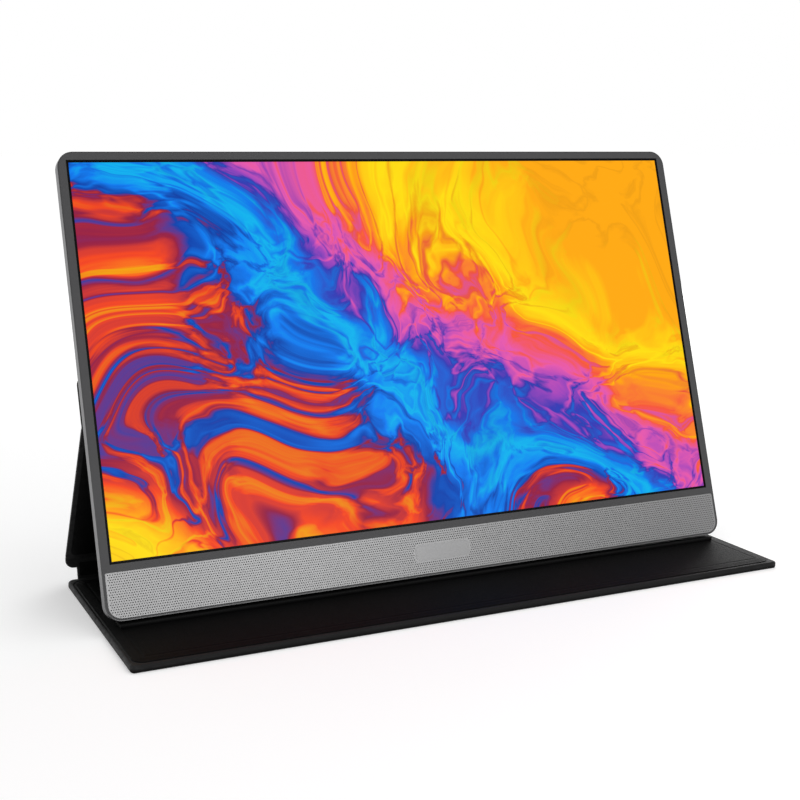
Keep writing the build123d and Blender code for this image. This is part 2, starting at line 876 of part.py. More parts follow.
def leaf_liner(width, start, end, hem, inset, low_radius, high_radius):
    """Lining that fills the hem's window and laps over the hem."""
    middle = (start + end) / 2
    plug_bottom = leaf_sheet + leaf_board_thickness
    plug = Box(width - 2 * hem, end - start - 2 * hem, leaf_sheet)
    plug = Pos(0, middle, plug_bottom + leaf_sheet / 2) * plug
    outline = leaf_outline(width - 2 * inset, start + inset, end - inset, low_radius, high_radius)
    return plug + Pos(0, 0, leaf_height) * extrude(outline, leaf_liner_thickness)


def fold_bead(width, fold_y):
    """The rounded back of the leather at a fold line."""
    return Pos(0, fold_y, leaf_total / 2) * Rot(0, 90, 0) * Cylinder(fold_bead_radius, width)


def base_pocket():
    """The room in the base's leather that its board and magnets fill."""
    reach = base_back_y - base_wrap
    return leaf_board(base_width, -reach, reach, base_sheet, base_board_thickness, base_wrap, base_back_corner)


def base_skin():
    outline = leaf_outline(base_width, -base_back_y, base_back_y, base_front_corner, base_back_corner)
    body = leather_skin(outline, base_width, -base_back_y, base_back_y, base_sheet, base_board_thickness,
                        base_hem, base_edge_round, base_pocket())
    web_from = base_back_y - base_wrap / 2
    web_length = fold_1[0] - web_from
    body += Pos(0, web_from + web_length / 2, fold_1[1]) * Box(spine_width, web_length, fold_web_thickness)
    return body + Pos(0, fold_1[0], fold_1[1]) * Rot(0, 90, 0) * Cylinder(fold_bead_radius, spine_width)


def base_magnet_places():
    pitch = (base_width - 4 * base_hem) / base_magnet_count
    return [pitch * (i - (base_magnet_count - 1) / 2) for i in range(base_magnet_count)]


def base_magnets():
    y = base_magnet_front - base_back_y
    z = base_sheet + base_board_thickness / 2
    return group([Pos(x, y, z) * Box(magnet_length, magnet_width, base_board_thickness)
                  for x in base_magnet_places()])


def base_board():
    return base_pocket() - base_magnets()


def base_padding():
    z = base_height - base_sheet / 2
    return Pos(0, 0, z) * Box(base_width - 2 * base_hem, base_depth - 2 * base_hem, base_sheet)


def base_liner():
    outline = leaf_outline(base_width - 2 * base_liner_side_inset, base_liner_front_inset - base_back_y,
                           base_back_y - base_liner_back_inset, base_liner_corner, base_liner_corner)
    body = Pos(0, 0, base_height) * extrude(outline, base_liner_thickness)
    return fillet(body.faces().sort_by(Axis.Z)[-1].edges(), base_liner_round)


def stop_strip():
    """Soft strip with a lip in front of the groove that holds the monitor's lower edge."""
    front = monitor_y - strip_front
    lip_back = front + strip_lip_width
    seat = base_top + strip_seat
    lip = seat + strip_lip
    profile = Polyline((front, base_top), (front, lip), (lip_back, lip), (lip_back + strip_lip, seat),
                       (monitor_y + strip_back, seat), (monitor_y + strip_back, base_top), (front, base_top))
    body = extrude(Plane.YZ * make_face(profile), strip_length / 2, both=True)
    long_edges = body.edges().filter_by(Axis.X)
    upper = long_edges.group_by(Axis.Z)[-1]
    return fillet(upper, strip_round)


def hinged_leaf(name, width, end, low_radius, high_radius, hem, inset, bead_at_end, magnets=()):
    """Skin, board and lining of a stiff leaf that starts just past its own fold line."""
    start = leaf_start
    outline = leaf_outline(width, start, end, low_radius, high_radius)
    board_end = end - (leaf_start if bead_at_end else leaf_wrap)
    board = leaf_board(width, start + leaf_wrap, board_end, leaf_sheet, leaf_board_thickness, leaf_wrap,
                       high_radius)
    skin = leather_skin(outline, width, start, end, leaf_sheet, leaf_board_thickness, hem,
                        leaf_edge_round, board)
    if bead_at_end:
        skin += fold_bead(width - 2 * high_radius, end)
    for magnet in magnets:
        board -= magnet
    liner = leaf_liner(width, start, end, hem, inset, low_radius, high_radius)
    return {name + "_skin": skin, name + "_board": board, name + "_liner": liner}


def spine_ears():
    """The spine's full-width end, whose rounded corners stand out past its sides."""
    start = spine_length - spine_ear_length
    outline = leaf_outline(panel_width, start, spine_length, spine_ear_corner, leaf_square_corner)
    strip = extrude(outline, leaf_height)
    strip = fillet(strip.faces().sort_by(Axis.Z)[-1].edges(), leaf_edge_round)
    strip = fillet(strip.faces().sort_by(Axis.Z)[0].edges(), leaf_edge_round)
    between = Box(spine_width - 2 * leaf_wrap, 2 * spine_ear_length, 2 * leaf_height)
    ears = strip - Pos(0, spine_length, leaf_height / 2) * between
    return ears + fold_bead(panel_width - 2 * leaf_square_corner, spine_length)


def upper_magnets():
    z = leaf_sheet + leaf_board_thickness / 2
    return [Pos(x, upper_magnet_rise, z) * Box(magnet_length, magnet_width, leaf_board_thickness)
            for x in magnet_places()]


# Writing the parts


def write_monitor():
    pieces = {
        "front_bezel": front_bezel(),
        "rear_cover": rear_cover(),
        "speaker_grille": speaker_grille(),
        "badge_plate": badge_plate(),
        "case_screws": case_screws(),
        "polariser_film": plate(picture_width, picture_height, 0, film_recess, film_back,
                                low=window_low + mask_line),
        "lcd_glass": plate(glass_width, glass_height, 0, film_back, glass_back, low=glass_low),
        "prism_film": stack_sheet(glass_back, prism_back),
        "diffuser_sheet": stack_sheet(prism_back, diffuser_back),
        "light_guide": stack_sheet(diffuser_back, guide_back, led_zone),
        "reflector_sheet": stack_sheet(guide_back, reflector_back),
        "led_bar": led_bar(),
        "panel_chassis": panel_chassis(),
        "panel_adhesive": panel_adhesive(),
        "driver_board": driver_board(),
        "display_flex": display_flex(),
        "display_cable": display_cable(),
        "main_board": main_board(),
        "board_chips": board_chips(),
        "board_screws": board_screws(),
        "heat_spreader": heat_spreader(),
        "usb_c_ports": usb_c_ports(),
        "mini_hdmi_port": mini_hdmi_port(),
        "audio_jack": audio_jack(),
        "audio_board": audio_board(),
        "power_button": power_button(),
        "menu_rocker": menu_rocker(),
        "rocker_pin": rocker_pin(),
        "button_board": button_board(),
        "tact_switches": tact_switches(),
        "status_light": status_light(),
        "speaker_gaskets": speaker_gaskets(),
        "magnet_keepers": magnet_keepers(),
    }
    for side, x in (("left", -speaker_offset), ("right", speaker_offset)):
        pieces[side + "_speaker_frame"] = speaker_frame(x)
        pieces[side + "_speaker_cone"] = speaker_cone(x)
        pieces[side + "_speaker_magnet"] = speaker_magnet(x)
    pieces["left_speaker_lead"] = speaker_lead(left_lead_offset - speaker_offset,
                                               main_board_left + left_lead_landing)
    pieces["right_speaker_lead"] = speaker_lead(speaker_offset - right_lead_offset,
                                                main_board_right - right_lead_landing)
    for name, piece in pieces.items():
        save(name, monitor_place(piece))


def write_cover():
    save("base_skin", base_skin())
    save("base_board", base_board())
    save("base_magnets", base_magnets())
    save("base_padding", base_padding())
    save("base_liner", base_liner())
    save("stop_strip", stop_strip())
    magnets = upper_magnets()
    upper = hinged_leaf("upper_panel", panel_width, upper_panel_length, leaf_square_corner,
                        upper_corner, leaf_hem, leaf_liner_inset, False, magnets)
    upper["upper_panel_magnets"] = group(magnets)
    lower = hinged_leaf("lower_panel", panel_width, lower_panel_length, leaf_square_corner,
                        leaf_square_corner, leaf_hem, leaf_liner_inset, True)
    spine = hinged_leaf("spine", spine_width, spine_length, leaf_square_corner,
                        leaf_square_corner, spine_hem, spine_liner_inset, True)
    spine["spine_skin"] += spine_ears()
    places = ((fold_1, 90 - spine_lean, spine), (fold_2, lower_panel_angle, lower),
              (fold_3, 90 - monitor_tilt, upper))
    for fold, angle, leaves in places:
        for name, piece in leaves.items():
            save(name, leaf_place(fold, angle, Pos(0, 0, -leaf_total / 2) * piece))


os.makedirs("parts", exist_ok=True)
write_monitor()
write_cover()
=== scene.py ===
import bmesh
import bpy
import json
import math
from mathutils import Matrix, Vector, noise as field_noise
from mathutils.geometry import delaunay_2d_cdt


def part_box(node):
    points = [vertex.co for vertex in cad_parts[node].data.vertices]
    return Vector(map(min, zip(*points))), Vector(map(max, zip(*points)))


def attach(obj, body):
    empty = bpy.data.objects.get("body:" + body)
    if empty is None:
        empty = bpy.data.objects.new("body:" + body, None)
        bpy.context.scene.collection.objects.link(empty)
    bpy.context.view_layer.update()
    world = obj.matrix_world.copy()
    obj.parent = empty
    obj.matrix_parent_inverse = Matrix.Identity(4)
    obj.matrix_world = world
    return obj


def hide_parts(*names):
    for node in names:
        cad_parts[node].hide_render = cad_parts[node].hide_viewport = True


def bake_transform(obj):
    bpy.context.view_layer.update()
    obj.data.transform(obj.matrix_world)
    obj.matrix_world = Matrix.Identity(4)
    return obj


# Portable monitor on its folding leather cover. Metres, Z up, the viewer stands at -Y.

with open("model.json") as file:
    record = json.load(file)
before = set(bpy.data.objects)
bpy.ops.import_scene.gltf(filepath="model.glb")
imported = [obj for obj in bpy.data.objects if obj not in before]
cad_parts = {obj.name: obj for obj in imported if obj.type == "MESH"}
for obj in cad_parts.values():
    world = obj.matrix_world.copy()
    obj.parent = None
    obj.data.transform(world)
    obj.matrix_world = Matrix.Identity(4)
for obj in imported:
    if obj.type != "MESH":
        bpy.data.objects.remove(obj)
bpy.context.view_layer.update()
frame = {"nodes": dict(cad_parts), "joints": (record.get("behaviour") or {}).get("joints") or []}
scene = bpy.context.scene

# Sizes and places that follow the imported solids

MM = 0.001
LOWEST, HIGHEST = 0, 1
X, Y, Z = 0, 1, 2


def measured(node, corner, axis):
    """One coordinate of a node's box, to the micrometre."""
    return round(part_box(node)[corner][axis], 6)


def leaf_between(start, end):
    """The angle and the length of a straight leaf from one fold to the next."""
    reach, rise = end[0] - start[0], end[1] - start[1]
    return math.atan2(rise, reach), round(math.hypot(reach, rise), 6)


joints = {joint["name"]: joint for joint in frame["joints"]}
fold_1, fold_2, fold_3 = (joints[name]["pos_m"][1:] for name in ("base_fold", "spine_fold", "crease_fold"))
tilt = math.asin(joints["monitor_lift"]["axis"][Z])
spine_angle, spine_length = leaf_between(fold_1, fold_2)
lower_angle, lower_length = leaf_between(fold_2, fold_3)
upper_angle = math.pi / 2 - tilt
upper_length = 24.5 * MM

monitor_foot = (measured("rear_cover", LOWEST, Y), 7.385 * MM)
casing_width = 2 * measured("rear_cover", HIGHEST, X)
window_half = 172.98 * MM
window_middle = 124.845 * MM
window_rise = 97.695 * MM

grille_inset = 1.3 * MM
grille_low = 0.9 * MM
grille_high = 23.15 * MM
grille_corner = 6.7 * MM
grille_top_corner = 0.8 * MM
badge_width = 2 * measured("badge_plate", HIGHEST, X)
badge_height = 8.0 * MM
badge_corner = 2.4 * MM
badge_rise = 12.0 * MM

base_half = measured("base_skin", HIGHEST, X)
base_end = -measured("base_skin", LOWEST, Y)
base_height = measured("base_skin", HIGHEST, Z)
base_edge_round = 1.1 * MM
base_front_corner = 2.4 * MM
base_back_corner = 4.5 * MM
lining_half = measured("base_liner", HIGHEST, X)
lining_front = measured("base_liner", LOWEST, Y)
lining_back = measured("base_liner", HIGHEST, Y)
lining_height = measured("base_liner", HIGHEST, Z)
lining_corner = 6.0 * MM
lining_lip = 0.3 * MM
strip_half = measured("stop_strip", HIGHEST, X)

spine_lining_inset = 1.2 * MM
leaf_lining_inset = 2.2 * MM
web_half = measured("spine_liner", HIGHEST, X) + spine_lining_inset
web_middle = fold_1[1]
leaf_half = measured("lower_panel_skin", HIGHEST, X)
leaf_start = 1.2 * MM
leaf_outer = -0.95 * MM
leaf_inner = 0.65 * MM
leaf_lining = 0.95 * MM
leaf_high_corner = 4.0 * MM
leaf_round = 0.4 * MM
ear_length = 4.9 * MM
ear_corner = 4.0 * MM
fold_sheet = 0.55 * MM


def on_monitor(x, v, depth=0.0):
    """A point of the leaned monitor: across, up the screen, and behind its front face."""
    y = monitor_foot[0] + v * math.sin(tilt) + depth * math.cos(tilt)
    z = monitor_foot[1] + v * math.cos(tilt) - depth * math.sin(tilt)
    return Vector((x, y, z))


def in_mm(*lengths):
    return [length * MM for length in lengths]


def every(start, step, count):
    """Evenly spaced places."""
    return [start + step * i for i in range(count)]


def along(place, angle, distance):
    """A point at a distance from a place, on a line at an angle in the side view."""
    return (place[0] + distance * math.cos(angle), place[1] + distance * math.sin(angle))


def inside_by(x, y, half, low, high, radius):
    """How far a point lies inside a rounded rectangle."""
    middle, half_y = (low + high) / 2, (high - low) / 2
    dx, dy = abs(x) - half + radius, abs(y - middle) - half_y + radius
    return radius - math.hypot(max(dx, 0), max(dy, 0)) - min(max(dx, dy), 0)


# Meshes

MERGE_WITHIN = 2e-6
NO_LENGTH = 1e-7


def new_piece(name, points, faces, smooth=False):
    mesh = bpy.data.meshes.new(name)
    mesh.from_pydata([tuple(p) for p in points], [], faces)
    mesh.validate()
    mesh.update()
    piece = bpy.data.objects.new(name, mesh)
    scene.collection.objects.link(piece)
    if smooth:
        mesh.polygons.foreach_set("use_smooth", [True] * len(mesh.polygons))
        mesh.update()
    return piece


def merge(work):
    bmesh.ops.remove_doubles(work, verts=work.verts, dist=MERGE_WITHIN)


def loft(name, rings, wear=None):
    """Joins rings of equal length and closes both ends. wear gives each point's share of rubbed edge."""
    count = len(rings[0])
    points = [p for ring in rings for p in ring]
    faces = []
    for r in range(len(rings) - 1):
        for i in range(count):
            j = (i + 1) % count
            faces.append((r * count + i, r * count + j, (r + 1) * count + j, (r + 1) * count + i))
    last = (len(rings) - 1) * count
    faces.append(tuple(reversed(range(count))))
    faces.append(tuple(last + i for i in range(count)))
    piece = new_piece(name, points, faces, smooth=True)
    if wear:
        rubbed = piece.data.attributes.new("rubbed_edge", "FLOAT", "POINT")
        rubbed.data.foreach_set("value", [value for ring in wear for value in ring])
    work = bmesh.new()
    work.from_mesh(piece.data)
    work.faces.ensure_lookup_table()
    for cap in work.faces[-2:]:
        for edge in cap.edges:
            edge.smooth = False
    merge(work)
    bmesh.ops.dissolve_degenerate(work, edges=work.edges, dist=NO_LENGTH)
    bmesh.ops.recalc_face_normals(work, faces=work.faces)
    work.to_mesh(piece.data)
    work.free()
    piece.data.update()
    return piece


def dress(piece, material, nodes=(), body=None):
    """Gives a finished piece its material, the nodes it stands for and its body."""
    piece.data.materials.clear()
    piece.data.materials.append(material)
    if body:
        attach(piece, body)
    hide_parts(*nodes)


# Shader helpers


def new_material(name):
    material = bpy.data.materials.new(name)
    material.use_nodes = True
    tree = material.node_tree
    return material, tree, tree.nodes["Principled BSDF"]


def add(tree, kind, **settings):
    node = tree.nodes.new(kind)
    for key, value in settings.items():
        setattr(node, key, value)
    return node


def feed(node, socket, value):
    """Sets a socket to a value, or links another node's output to it."""
    if isinstance(value, bpy.types.NodeSocket):
        node.id_data.links.new(value, node.inputs[socket])
    else:
        node.inputs[socket].default_value = value


def object_coordinates(tree):
    return add(tree, "ShaderNodeTexCoord").outputs["Object"]


def tree_of(*values):
    """The tree of the outputs among some values."""
    return next(value.id_data for value in values if isinstance(value, bpy.types.NodeSocket))


def calculate(operation, a, b=0.0, c=0.0):
    node = add(tree_of(a, b, c), "ShaderNodeMath", operation=operation)
    for socket, value in enumerate((a, b, c)):
        feed(node, socket, value)
    return node.outputs[0]


def calculate_vector(operation, *values):
    node = add(tree_of(*values), "ShaderNodeVectorMath", operation=operation)
    for socket, value in enumerate(values):
        feed(node, socket, value)
    return node.outputs["Value" if operation in ("DOT_PRODUCT", "LENGTH") else "Vector"]


def axes_of(where):
    """The three coordinates of a place."""
    apart = add(tree_of(where), "ShaderNodeSeparateXYZ")
    feed(apart, 0, where)
    return apart.outputs


def mix_colours(factor, a, b, way="MIX"):
    node = add(tree_of(factor, a, b), "ShaderNodeMix", data_type="RGBA", blend_type=way)
    feed(node, 0, factor)
    feed(node, 6, a)
    feed(node, 7, b)
    return node.outputs[2]


def noise(where, scale, detail=2.0, roughness=0.5, distortion=0.0):
    node = add(tree_of(where), "ShaderNodeTexNoise")
    feed(node, "Vector", where)
    feed(node, "Scale", scale)
    feed(node, "Detail", detail)
    feed(node, "Roughness", roughness)
    feed(node, "Distortion", distortion)
    return node


def remap(value, low, high, to_low=0.0, to_high=1.0):
    node = add(tree_of(value), "ShaderNodeMapRange")
    for socket, number in enumerate((value, low, high, to_low, to_high)):
        feed(node, socket, number)
    return node.outputs[0]


def centred(value):
    return calculate("SUBTRACT", value, 0.5)


def take_inputs(tree, values):
    """Gives a tree a named input for each value."""
    kinds = {tuple: "NodeSocketColor", int: "NodeSocketInt", float: "NodeSocketFloat"}
    for label, value in values.items():
        socket = tree.interface.new_socket(label, in_out="INPUT", socket_type=kinds[type(value)])
        socket.default_value = value


def new_effect(name, **values):
    """A shader group with named inputs that gives a colour, a gloss and a height."""
    group = bpy.data.node_groups.new(name, "ShaderNodeTree")
    take_inputs(group, {label.replace("_", " "): value for label, value in values.items()})
    for label, kind in (("Colour", "Color"), ("Gloss", "Float"), ("Height", "Float")):
        group.interface.new_socket(label, in_out="OUTPUT", socket_type="NodeSocket" + kind)
    return group, group.nodes.new("NodeGroupInput"), group.nodes.new("NodeGroupOutput")


# Shared effects


def build_metal_grain():
    """Blasted or painted metal: a fine grain in height, with soft changes of tone and gloss."""
    group, entry, result = new_effect("metal_grain", Base_Colour=(0.3, 0.3, 0.31, 1), Grain_Scale=3000.0,
                                      Tone_Change=0.08, Roughness=0.42)
    where = object_coordinates(group)
    fine = noise(where, entry.outputs["Grain Scale"], detail=3.0)
    broad = noise(where, scale=9.0, detail=3.0, roughness=0.55)
    speck = calculate("MULTIPLY", centred(fine.outputs[0]), 0.6)
    cloud = centred(broad.outputs[0])
    change = calculate("ADD", speck, cloud)
    light = calculate("MULTIPLY_ADD", change, entry.outputs["Tone Change"], 1.0)
    tone = mix_colours(1.0, entry.outputs["Base Colour"], light, "MULTIPLY")
    feed(result, "Colour", tone)
    gloss = calculate("MULTIPLY_ADD", cloud, 0.12, entry.outputs["Roughness"])
    feed(result, "Gloss", gloss)
    feed(result, "Height", fine.outputs[0])
    return group


def build_leather_grain():
    """Fine leather: rounded pebbles with creases between, worn lighter on the tops and along edges."""
    group, entry, result = new_effect("leather_grain", Base_Colour=(0.012, 0.012, 0.013, 1),
                                      Worn_Colour=(0.03, 0.03, 0.031, 1), Pebble_Scale=1500.0, Wear=0.35,
                                      Edge=0.0, Roughness=0.5)
    where = object_coordinates(group)
    warp = noise(where, scale=260.0)
    warp_reach = 0.9 * MM
    reach = (warp_reach, warp_reach, warp_reach)
    shifted = calculate_vector("MULTIPLY_ADD", warp.outputs["Color"], reach, where)
    pebble = add(group, "ShaderNodeTexVoronoi", feature="DISTANCE_TO_EDGE")
    feed(pebble, "Vector", shifted)
    feed(pebble, "Scale", entry.outputs["Pebble Scale"])
    dome = remap(pebble.outputs["Distance"], low=0.0, high=0.22)
    broad = noise(where, scale=22.0, detail=4.0, roughness=0.6)
    patch = remap(broad.outputs[0], low=0.35, high=0.72)
    rubbed = calculate("MULTIPLY", calculate("MULTIPLY", dome, patch), entry.outputs["Wear"])
    uneven = remap(warp.outputs[0], low=0.3, high=0.6)
    edge = calculate("MULTIPLY", entry.outputs["Edge"], uneven)
    worn = calculate("MINIMUM", calculate("ADD", rubbed, edge), 1.0)
    colour = mix_colours(worn, entry.outputs["Base Colour"], entry.outputs["Worn Colour"])
    feed(result, "Colour", colour)
    polished = calculate("MULTIPLY_ADD", worn, -0.10, entry.outputs["Roughness"])
    crease = calculate("SUBTRACT", 1.0, dome)
    feed(result, "Gloss", calculate("MULTIPLY_ADD", crease, 0.15, polished))
    feed(result, "Height", calculate("MULTIPLY_ADD", broad.outputs[0], 0.35, dome))
    return group


def build_moulded_grain():
    """Moulded plastic, film or board: a faint grain with slight changes of tone."""
    group, entry, result = new_effect("moulded_grain", Base_Colour=(0.1, 0.1, 0.1, 1),
                                      Second_Colour=(0.12, 0.12, 0.12, 1), Grain_Scale=1200.0, Roughness=0.5)
    where = object_coordinates(group)
    fine = noise(where, entry.outputs["Grain Scale"])
    broad = noise(where, scale=60.0, detail=3.0)
    mixed = calculate("MULTIPLY", calculate("ADD", fine.outputs[0], broad.outputs[0]), 0.5)
    share = remap(mixed, low=0.3, high=0.7)
    colour = mix_colours(share, entry.outputs["Base Colour"], entry.outputs["Second Colour"])
    feed(result, "Colour", colour)
    cloud = centred(broad.outputs[0])
    gloss = calculate("MULTIPLY_ADD", cloud, 0.1, entry.outputs["Roughness"])
    feed(result, "Gloss", gloss)
    feed(result, "Height", fine.outputs[0])
    return group


metal_grain = build_metal_grain()
leather_grain = build_leather_grain()
moulded_grain = build_moulded_grain()


METAL_GRAIN_DEPTH = 0.02 * MM
LEATHER_GRAIN_DEPTH = 0.08 * MM
MOULDED_GRAIN_DEPTH = 0.02 * MM


def surface(name, group, values, relief, depth, specular, metallic=0.0):
    """A material whose colour, gloss and relief come from a shared effect."""
    material, tree, shader = new_material(name)
    effect = add(tree, "ShaderNodeGroup", node_tree=group)
    for label, value in values.items():
        feed(effect, label, value)
    feed(shader, "Base Color", effect.outputs["Colour"])
    feed(shader, "Roughness", effect.outputs["Gloss"])
    bump = add(tree, "ShaderNodeBump")
    feed(bump, "Strength", relief)
    feed(bump, "Distance", depth)
    feed(bump, "Height", effect.outputs["Height"])
    feed(shader, "Normal", bump.outputs[0])
    feed(shader, "Metallic", metallic)
    feed(shader, "Specular IOR Level", specular)
    return material


def opened(material):
    """A finish's tree, its shader and its shared effect."""
    tree = material.node_tree
    shader = tree.nodes["Principled BSDF"]
    return tree, shader, shader.inputs["Base Color"].links[0].from_node


def metal(name, colour, roughness, metallic=1.0, scale=3000.0, tone=0.08, relief=0.12, specular=0.5):
    values = {"Base Colour": (*colour, 1), "Grain Scale": scale, "Tone Change": tone, "Roughness": roughness}
    return surface(name, metal_grain, values, relief, METAL_GRAIN_DEPTH, specular, metallic)


def leather(name, colour, worn, roughness, scale=1500.0, wear=0.35, relief=0.35, specular=0.4):
    values = {"Base Colour": (*colour, 1), "Worn Colour": (*worn, 1), "Pebble Scale": scale, "Wear": wear,
              "Roughness": roughness}
    material = surface(name, leather_grain, values, relief, LEATHER_GRAIN_DEPTH, specular)
    tree, _, effect = opened(material)
    feed(effect, "Edge", add(tree, "ShaderNodeAttribute", attribute_name="rubbed_edge").outputs["Fac"])
    return material


def moulded(name, colour, second, roughness, scale=1200.0, relief=0.1, specular=0.5):
    values = {"Base Colour": (*colour, 1), "Second Colour": (*second, 1), "Grain Scale": scale,
              "Roughness": roughness}
    return surface(name, moulded_grain, values, relief, MOULDED_GRAIN_DEPTH, specular)


up_the_screen = (0, math.sin(tilt), math.cos(tilt))
into_the_screen = (0, math.cos(tilt), -math.sin(tilt))


def measured_along(tree, direction):
    """How far each point lies along a direction from the monitor's foot."""
    reach = calculate_vector("DOT_PRODUCT", object_coordinates(tree), direction)
    return calculate("SUBTRACT", reach, Vector(direction).dot(Vector((0, *monitor_foot))))


def casing():
    """Blasted casing metal whose thin front lip is painted like the bezel, with a painted highlight that
    makes it paler at its foot.
    """
    material = metal("blasted_casing_metal", (0.17, 0.17, 0.175), roughness=0.42, scale=2600.0, tone=0.1,
                     relief=0.15)
    lip_painted_highlight, dark_lip = (0.12, 0.12, 0.121, 1), (0.045, 0.045, 0.046, 1)
    highlight_below, highlight_gone_above = 0.4 * MM, 4.0 * MM
    painted_to, bare_from = 0.05 * MM, 0.25 * MM
    tree, shader, effect = opened(material)
    bare = remap(measured_along(tree, into_the_screen), painted_to, bare_from)
    # Painted highlight: the lip's paint is pale at its foot and darkens upwards, standing in for light on
    # its rounded lower edge.
    highlight_fade = remap(measured_along(tree, up_the_screen), highlight_below, highlight_gone_above)
    painted = mix_colours(highlight_fade, lip_painted_highlight, dark_lip)
    feed(shader, "Base Color", mix_colours(bare, painted, effect.outputs["Colour"]))
    feed(shader, "Metallic", remap(bare, 0.0, 1.0, to_low=0.2, to_high=1.0))
    return material


def bezel():
    """Dark bezel paint, black round the edge of the picture's window."""
    material = metal("bezel_paint", (0.067, 0.067, 0.069), roughness=0.55, metallic=0.2, scale=2400.0,
                     tone=0.1, specular=0.25)
    window_black = (0.002, 0.002, 0.002, 1)
    black_to, painted_from = 0.34 * MM, 0.42 * MM
    tree, shader, effect = opened(material)
    across = axes_of(object_coordinates(tree))[0]
    rise = measured_along(tree, up_the_screen)
    beside = calculate("SUBTRACT", calculate("ABSOLUTE", across), window_half)
    above = calculate("ABSOLUTE", calculate("SUBTRACT", rise, window_middle))
    out = calculate("MAXIMUM", beside, calculate("SUBTRACT", above, window_rise))
    painted = remap(out, black_to, painted_from)
    feed(shader, "Base Color", mix_colours(painted, window_black, effect.outputs["Colour"]))
    feed(shader, "Metallic", remap(painted, 0.0, 1.0, to_low=0.0, to_high=0.2))
    gloss = calculate("MAXIMUM", effect.outputs["Gloss"], calculate("SUBTRACT", 1.0, painted))
    feed(shader, "Roughness", gloss)
    return material


def paint_contact_shadow(material, black_to, shadow_clear_from):
    """Paints a contact shadow on a finish: near black towards the floor, where its edge turns under."""
    tree, shader, effect = opened(material)
    clear = remap(axes_of(object_coordinates(tree))[2], black_to, shadow_clear_from)
    painted_shadow_black = (0.001, 0.001, 0.001, 1)
    feed(shader, "Base Color", mix_colours(clear, painted_shadow_black, effect.outputs["Colour"]))


def picture_coordinates(tree):
    """Coordinates flat on the picture, in tenths of a metre."""
    units_per_metre = 10.0
    turned = add(tree, "ShaderNodeMapping")
    feed(turned, "Vector", object_coordinates(tree))
    feed(turned, "Rotation", (tilt - math.pi / 2, 0, 0))
    feed(turned, "Scale", (units_per_metre, units_per_metre, units_per_metre))
    return calculate_vector("MULTIPLY", turned.outputs[0], (1.0, 1.0, 0.0))


def pushed(where, by, reach):
    """Moves a pattern's coordinates along with another pattern's colour, as poured paint flows."""
    push = calculate_vector("SUBTRACT", by, (0.5, 0.5, 0.5))
    return calculate_vector("MULTIPLY_ADD", push, reach, where)


def colour_field(tree):
    """A value that flows over the picture and picks its colours, and the lines of its thin veins."""
    flat = picture_coordinates(tree)
    broad = noise(flat, scale=0.42, detail=2.0, roughness=0.4)
    swept = pushed(flat, broad.outputs["Color"], (3.4, 2.6, 0.0))
    curl = noise(swept, scale=0.9, detail=4.0)
    curled = pushed(swept, curl.outputs["Color"], (1.3, 1.3, 0.0))
    axes = axes_of(curled)
    across_share, up_share, ripple_share = 0.21, 0.27, 0.5
    field = calculate("MULTIPLY", axes[0], across_share)
    field = calculate("MULTIPLY_ADD", axes[1], up_share, field)
    ripple = noise(curled, scale=1.3, detail=6.0, roughness=0.55, distortion=0.7)
    field = calculate("MULTIPLY_ADD", centred(ripple.outputs[0]), ripple_share, field)
    thread = noise(curled, scale=2.4, detail=3.0, roughness=0.45, distortion=1.2)
    ridge = calculate("ABSOLUTE", centred(thread.outputs[0]))
    field = calculate("ADD", field, remap(ridge, 0.0, 0.045, to_low=0.05, to_high=0.0))
    vein = noise(curled, scale=2.6, detail=5.0, distortion=1.2)
    line = calculate("ABSOLUTE", centred(vein.outputs[0]))
    field = calculate("ADD", field, remap(line, 0.0, 0.05, to_low=-0.05, to_high=0.0))
    return field, line


def build_picture():
    """The lit picture: flowing ribbons of poured colour with no motif."""
    material, tree, shader = new_material("lit_picture")
    field, line = colour_field(tree)
    ramp = add(tree, "ShaderNodeValToRGB")
    bands = ((0.00, (1.0, 0.62, 0.0)), (0.12, (1.0, 0.74, 0.0)), (0.20, (1.0, 0.36, 0.0)),
             (0.26, (0.92, 0.06, 0.01)), (0.30, (0.30, 0.01, 0.05)), (0.335, (0.0, 0.05, 0.40)),
             (0.40, (0.0, 0.20, 0.88)), (0.46, (0.0, 0.46, 0.85)), (0.52, (0.0, 0.18, 0.82)),
             (0.585, (0.03, 0.04, 0.45)), (0.63, (0.35, 0.06, 0.50)), (0.69, (0.80, 0.10, 0.42)),
             (0.75, (0.92, 0.09, 0.04)), (0.81, (1.0, 0.36, 0.0)), (0.89, (1.0, 0.74, 0.0)),
             (1.00, (1.0, 0.40, 0.0)))
    while len(ramp.color_ramp.elements) < len(bands):
        ramp.color_ramp.elements.new(0.5)
    for stop, (place, colour) in zip(ramp.color_ramp.elements, bands):
        stop.position = place
        stop.color = (*colour, 1)
    feed(ramp, 0, remap(field, low=-0.22, high=0.68))
    vein_strength = 0.25
    dark = remap(line, 0.0, 0.05, to_low=0.5, to_high=1.0)
    streaked = mix_colours(vein_strength, ramp.outputs[0], dark, "MULTIPLY")
    feed(shader, "Emission Color", streaked)
    feed(shader, "Emission Strength", 1.0)
    feed(shader, "Base Color", (0.004, 0.004, 0.005, 1))
    matt = noise(object_coordinates(tree), scale=4000.0, detail=1.0)
    gloss = remap(matt.outputs[0], 0.3, 0.7, to_low=0.34, to_high=0.4)
    feed(shader, "Roughness", gloss)
    feed(shader, "Specular IOR Level", 0.06)
    return material


# Finishes

